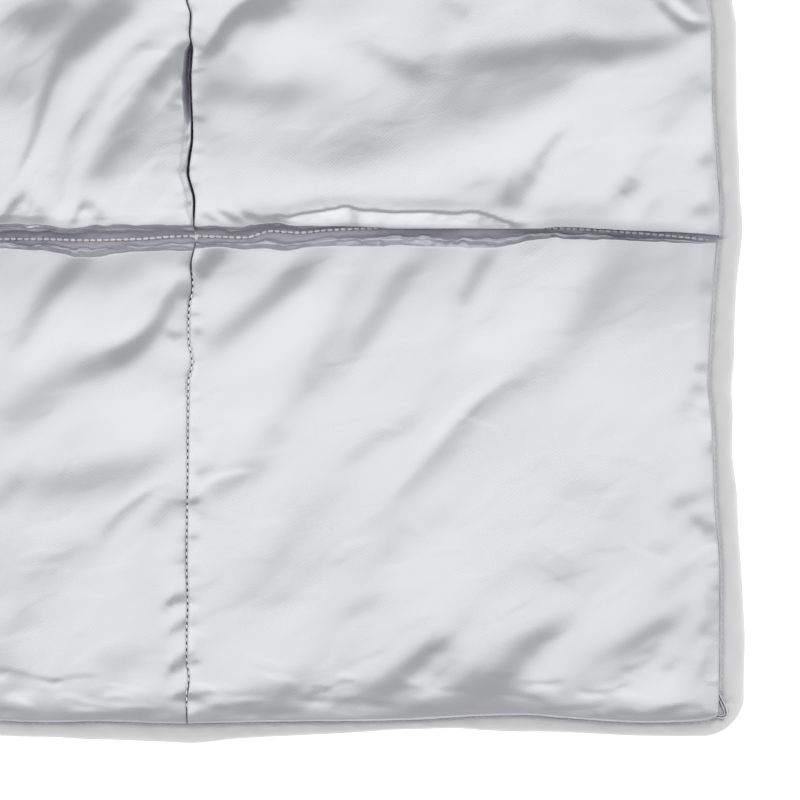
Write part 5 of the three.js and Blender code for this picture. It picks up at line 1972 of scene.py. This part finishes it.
def weave_group() -> bpy.types.ShaderNodeTree:
    """Shared node group for fine diagonal threads and small crinkles of satin.

    Returns:
        The group, with a relief in shares of 1 and a shade near 1.
    """
    group = bpy.data.node_groups.new("satin_weave", "ShaderNodeTree")
    group.interface.new_socket("Place", in_out="INPUT", socket_type="NodeSocketVector")
    group.interface.new_socket("Relief", in_out="OUTPUT", socket_type="NodeSocketFloat")
    group.interface.new_socket("Shade", in_out="OUTPUT", socket_type="NodeSocketFloat")
    wiring = Wiring(group)
    total = wiring.sum
    given = wiring.add("NodeGroupInput").outputs["Place"]

    def placed(degrees: float, scale: tuple[float, float]) -> bpy.types.NodeSocket:
        """Turned and stretched coordinates."""
        return wiring.add("ShaderNodeMapping", {
            "Vector": given, "Rotation": (0, 0, math.radians(degrees)),
            "Scale": (1 / scale[0], 1 / scale[1], 1),
        }, vector_type="TEXTURE").outputs["Vector"]

    def noise(
        place: bpy.types.NodeSocket, scale: float, detail: float, twist: float = 0.0
    ) -> bpy.types.NodeSocket:
        """Noise at a place."""
        values = {"Vector": place, "Scale": scale, "Detail": detail, "Distortion": twist}
        return wiring.add("ShaderNodeTexNoise", values).outputs["Fac"]

    def ribs(degrees: float, pitch: float) -> bpy.types.NodeSocket:
        """Slightly uneven parallel ribs, with their pitch in metres."""
        return wiring.add("ShaderNodeTexWave", {
            "Vector": placed(degrees, (1, 1)), "Scale": math.pi / (10 * pitch),
            "Distortion": 1.6, "Detail": 1.0,
        }).outputs["Fac"]

    threads = total("MULTIPLY", ribs(45, 0.00125), ribs(-50, 0.0015))
    across = noise(placed(-45, (300, 1300)), 1.0, 1.0)
    patches = wiring.ramp(noise(placed(0, (1, 1)), 26.0, 2.0), 0.35, 0.65)
    middle = total("SUBTRACT", noise(placed(20, (34, 110)), 1.0, 2.0, 0.6), 0.5)
    crinkle = wiring.ramp(total("ABSOLUTE", middle), 0.0, 0.05)
    amount = wiring.ramp(noise(placed(12, (9, 16)), 1.0, 1.0), 0.42, 0.62)
    fine = total("ADD", total("MULTIPLY", threads, 0.6), total("MULTIPLY", across, 0.7))
    fine = total("MULTIPLY", fine, total("ADD", total("MULTIPLY", patches, 0.7), 0.2))
    creased = total("MULTIPLY", total("MULTIPLY", crinkle, amount), 0.22)
    shade = total("ADD", total("MULTIPLY", total("SUBTRACT", threads, 0.5), 0.05), 1.0)
    wiring.add("NodeGroupOutput", {"Relief": total("ADD", fine, creased), "Shade": shade})
    return group


@dataclass(frozen=True)
class SatinFinish:
    """Smooth silver-grey satin."""

    weave: bpy.types.ShaderNodeTree
    colour: tuple[float, float, float, float] = (0.69, 0.70, 0.73, 1)
    # colour and metallic that stand for painted shade deep in the seams
    deep: tuple[float, float, float, float] = (0.46, 0.45, 0.51, 1)
    metallic: float = 0.7
    painted_shade_metallic: float = 0.1
    relief: float = 0.035
    roughness: float = 0.3

    def material(self) -> bpy.types.Material:
        """Makes the material.

        Returns:
            The material.
        """
        made, wiring, shader = started("satin")
        place = wiring.add("ShaderNodeUVMap", uv_map="cloth").outputs["UV"]
        weave = wiring.add("ShaderNodeGroup", node_tree=self.weave)
        wiring.feed(weave, {"Place": place})
        bump = wiring.add("ShaderNodeBump", {
            "Strength": 1.0, "Distance": self.relief * MM, "Height": weave.outputs["Relief"],
        })
        # colour and metallic are mixed towards the painted shade where the points' painted light is low
        painted_light = wiring.add("ShaderNodeAttribute", attribute_name="open").outputs["Fac"]
        tone = wiring.add("ShaderNodeMix", {0: painted_light, 6: self.deep, 7: self.colour}, data_type="RGBA")
        shaded = wiring.add(
            "ShaderNodeVectorMath", {0: tone.outputs[2], "Scale": weave.outputs["Shade"]},
            operation="SCALE",
        )
        metal = wiring.add("ShaderNodeMapRange", {
            "Value": painted_light, "To Min": self.painted_shade_metallic, "To Max": self.metallic,
        })
        wiring.feed(shader, {
            "Base Color": shaded.outputs[0], "Metallic": metal.outputs["Result"],
            "Roughness": self.roughness, "Normal": bump.outputs["Normal"],
        })
        return made


@dataclass(frozen=True)
class MattClothFinish:
    """Matt plain-weave cloth of the band and the back."""

    colour: tuple[float, float, float, float] = (0.765, 0.765, 0.765, 1)

    def material(self) -> bpy.types.Material:
        """Makes the material.

        Returns:
            The material.
        """
        made, wiring, shader = started("matt_cloth")
        place = wiring.add("ShaderNodeUVMap", uv_map="cloth").outputs["UV"]
        grain = wiring.add("ShaderNodeTexNoise", {"Vector": place, "Scale": 1400}).outputs["Fac"]
        bump = wiring.add("ShaderNodeBump", {"Strength": 0.5, "Distance": 0.0002, "Height": grain})
        wiring.feed(shader, {
            "Base Color": self.colour, "Roughness": 0.85, "Normal": bump.outputs["Normal"],
        })
        return made


@dataclass(frozen=True)
class Softbox:
    """A soft rectangle of light, given by its edges in degrees from straight up."""

    right: tuple[float, float]
    back: tuple[float, float]
    level: float
    softness: float


@dataclass
class Studio:
    """Plain floor, soft light and camera."""

    centre: tuple[float, float] = (513.1, -822.0)
    shown: float = 410.26
    distance: float = 6000.0
    light_axis: tuple[float, float] = LIGHT_AXIS
    base: float = 0.28
    horizon: float = 0.42
    horizon_angles: tuple[float, float] = (62, 78)
    floor_half: float = 9.0
    floor_level: float = -0.0006
    boxes: tuple[Softbox, ...] = (
        Softbox((-67, 67), (-11, 46), 0.87, 10.5),
        Softbox((-75, 75), (0, 75), 0.2, 20),
        Softbox((-50, 50), (-99, -60), 1.08, 5),
    )

    def build(self) -> None:
        """Builds the floor, the light and the camera."""
        self.floor()
        self.light()
        self.camera()
        bpy.context.scene.view_settings.view_transform = "Standard"

    def floor(self) -> None:
        """Adds the plain white floor."""
        mesh = bpy.data.meshes.new("floor")
        corners = ((-1, -1), (1, -1), (1, 1), (-1, 1))
        mesh.from_pydata(
            [(self.floor_half * x, self.floor_half * y, self.floor_level) for x, y in corners],
            [], [(0, 1, 2, 3)],
        )
        made = bpy.data.objects.new("floor", mesh)
        bpy.context.scene.collection.objects.link(made)
        finish, wiring, shader = started("white_floor")
        wiring.feed(shader, {
            "Base Color": (0.9, 0.9, 0.9, 1), "Roughness": 0.9,
            "Emission Color": (1, 1, 1, 1), "Emission Strength": 0.58,
        })
        mesh.materials.append(finish)

    def light(self) -> None:
        """Lights the set from soft boxes all round."""
        world = bpy.data.worlds.new("studio")
        bpy.context.scene.world = world
        world.use_nodes = True
        world.node_tree.nodes.clear()
        wiring = Wiring(world.node_tree)
        place = wiring.add("ShaderNodeTexCoord").outputs["Generated"]
        split = wiring.add("ShaderNodeSeparateXYZ", {"Vector": place}).outputs

        def turned(toward: tuple[float, float]) -> bpy.types.NodeSocket:
            """Angle out of the upright plane across a level direction."""
            parts = [wiring.sum("MULTIPLY", split[axis], share) for axis, share in zip("XY", toward)]
            return wiring.sum("ARCSINE", wiring.sum("ADD", *parts))

        def edge(value: bpy.types.NodeSocket, low: float, high: float) -> bpy.types.NodeSocket:
            """Soft edge between two angles in degrees."""
            return wiring.ramp(value, math.radians(low), math.radians(high))

        backward = turned(self.light_axis)
        rightward = turned((self.light_axis[1], -self.light_axis[0]))
        total: object = self.base
        for box in self.boxes:
            mask: object = box.level
            for angle, (low, high) in ((rightward, box.right), (backward, box.back)):
                mask = wiring.sum("MULTIPLY", mask, edge(angle, low - box.softness, low + box.softness))
                mask = wiring.sum("MULTIPLY", mask, edge(angle, high + box.softness, high - box.softness))
            total = wiring.sum("ADD", mask, total)
        low = edge(wiring.sum("ARCCOSINE", split["Z"]), *self.horizon_angles)
        total = wiring.sum("ADD", wiring.sum("MULTIPLY", low, self.horizon), total)
        colour = wiring.add("ShaderNodeCombineColor", dict.fromkeys(("Red", "Green", "Blue"), total))
        lit = wiring.add("ShaderNodeBackground", {"Color": colour.outputs["Color"]})
        plain_white = wiring.add("ShaderNodeBackground", {"Color": (0.95, 0.95, 0.95, 1)})
        by_camera = wiring.add("ShaderNodeLightPath").outputs["Is Camera Ray"]
        mix = wiring.add("ShaderNodeMixShader", {
            "Fac": by_camera, 1: lit.outputs["Background"], 2: plain_white.outputs["Background"],
        })
        wiring.add("ShaderNodeOutputWorld", {"Surface": mix.outputs["Shader"]})

    def camera(self) -> None:
        """Adds the camera, straight above the fine corner."""
        lens = bpy.data.cameras.new("camera")
        lens.sensor_width = 36
        lens.lens = 36 * self.distance / self.shown
        lens.clip_start = 0.1
        lens.clip_end = 50
        made = bpy.data.objects.new("camera", lens)
        made.location = (self.centre[0] * MM, self.centre[1] * MM, (self.distance + 20) * MM)
        bpy.context.scene.collection.objects.link(made)
        bpy.context.scene.camera = made


def plain(corners: tuple) -> list[list[float]]:
    """Two corners as plain lists."""
    return [[float(v) for v in corner] for corner in corners]


def main() -> None:
    """Builds the duvet and its studio."""
    logging.basicConfig(level=logging.INFO, format="%(message)s")
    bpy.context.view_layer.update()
    plan = QuiltPlan()
    matt = MattClothFinish().material()
    satin = SatinFinish(weave_group()).material()
    QuiltedBody(plan, FoldField(), satin, matt).build()
    band = EdgeBand(plan, matt)
    band.build()
    CornerTucks(satin).build()
    Sewing(plan, band, ThreadFinish().material()).build()
    Studio().build()


if __name__ == "__main__":
    main()
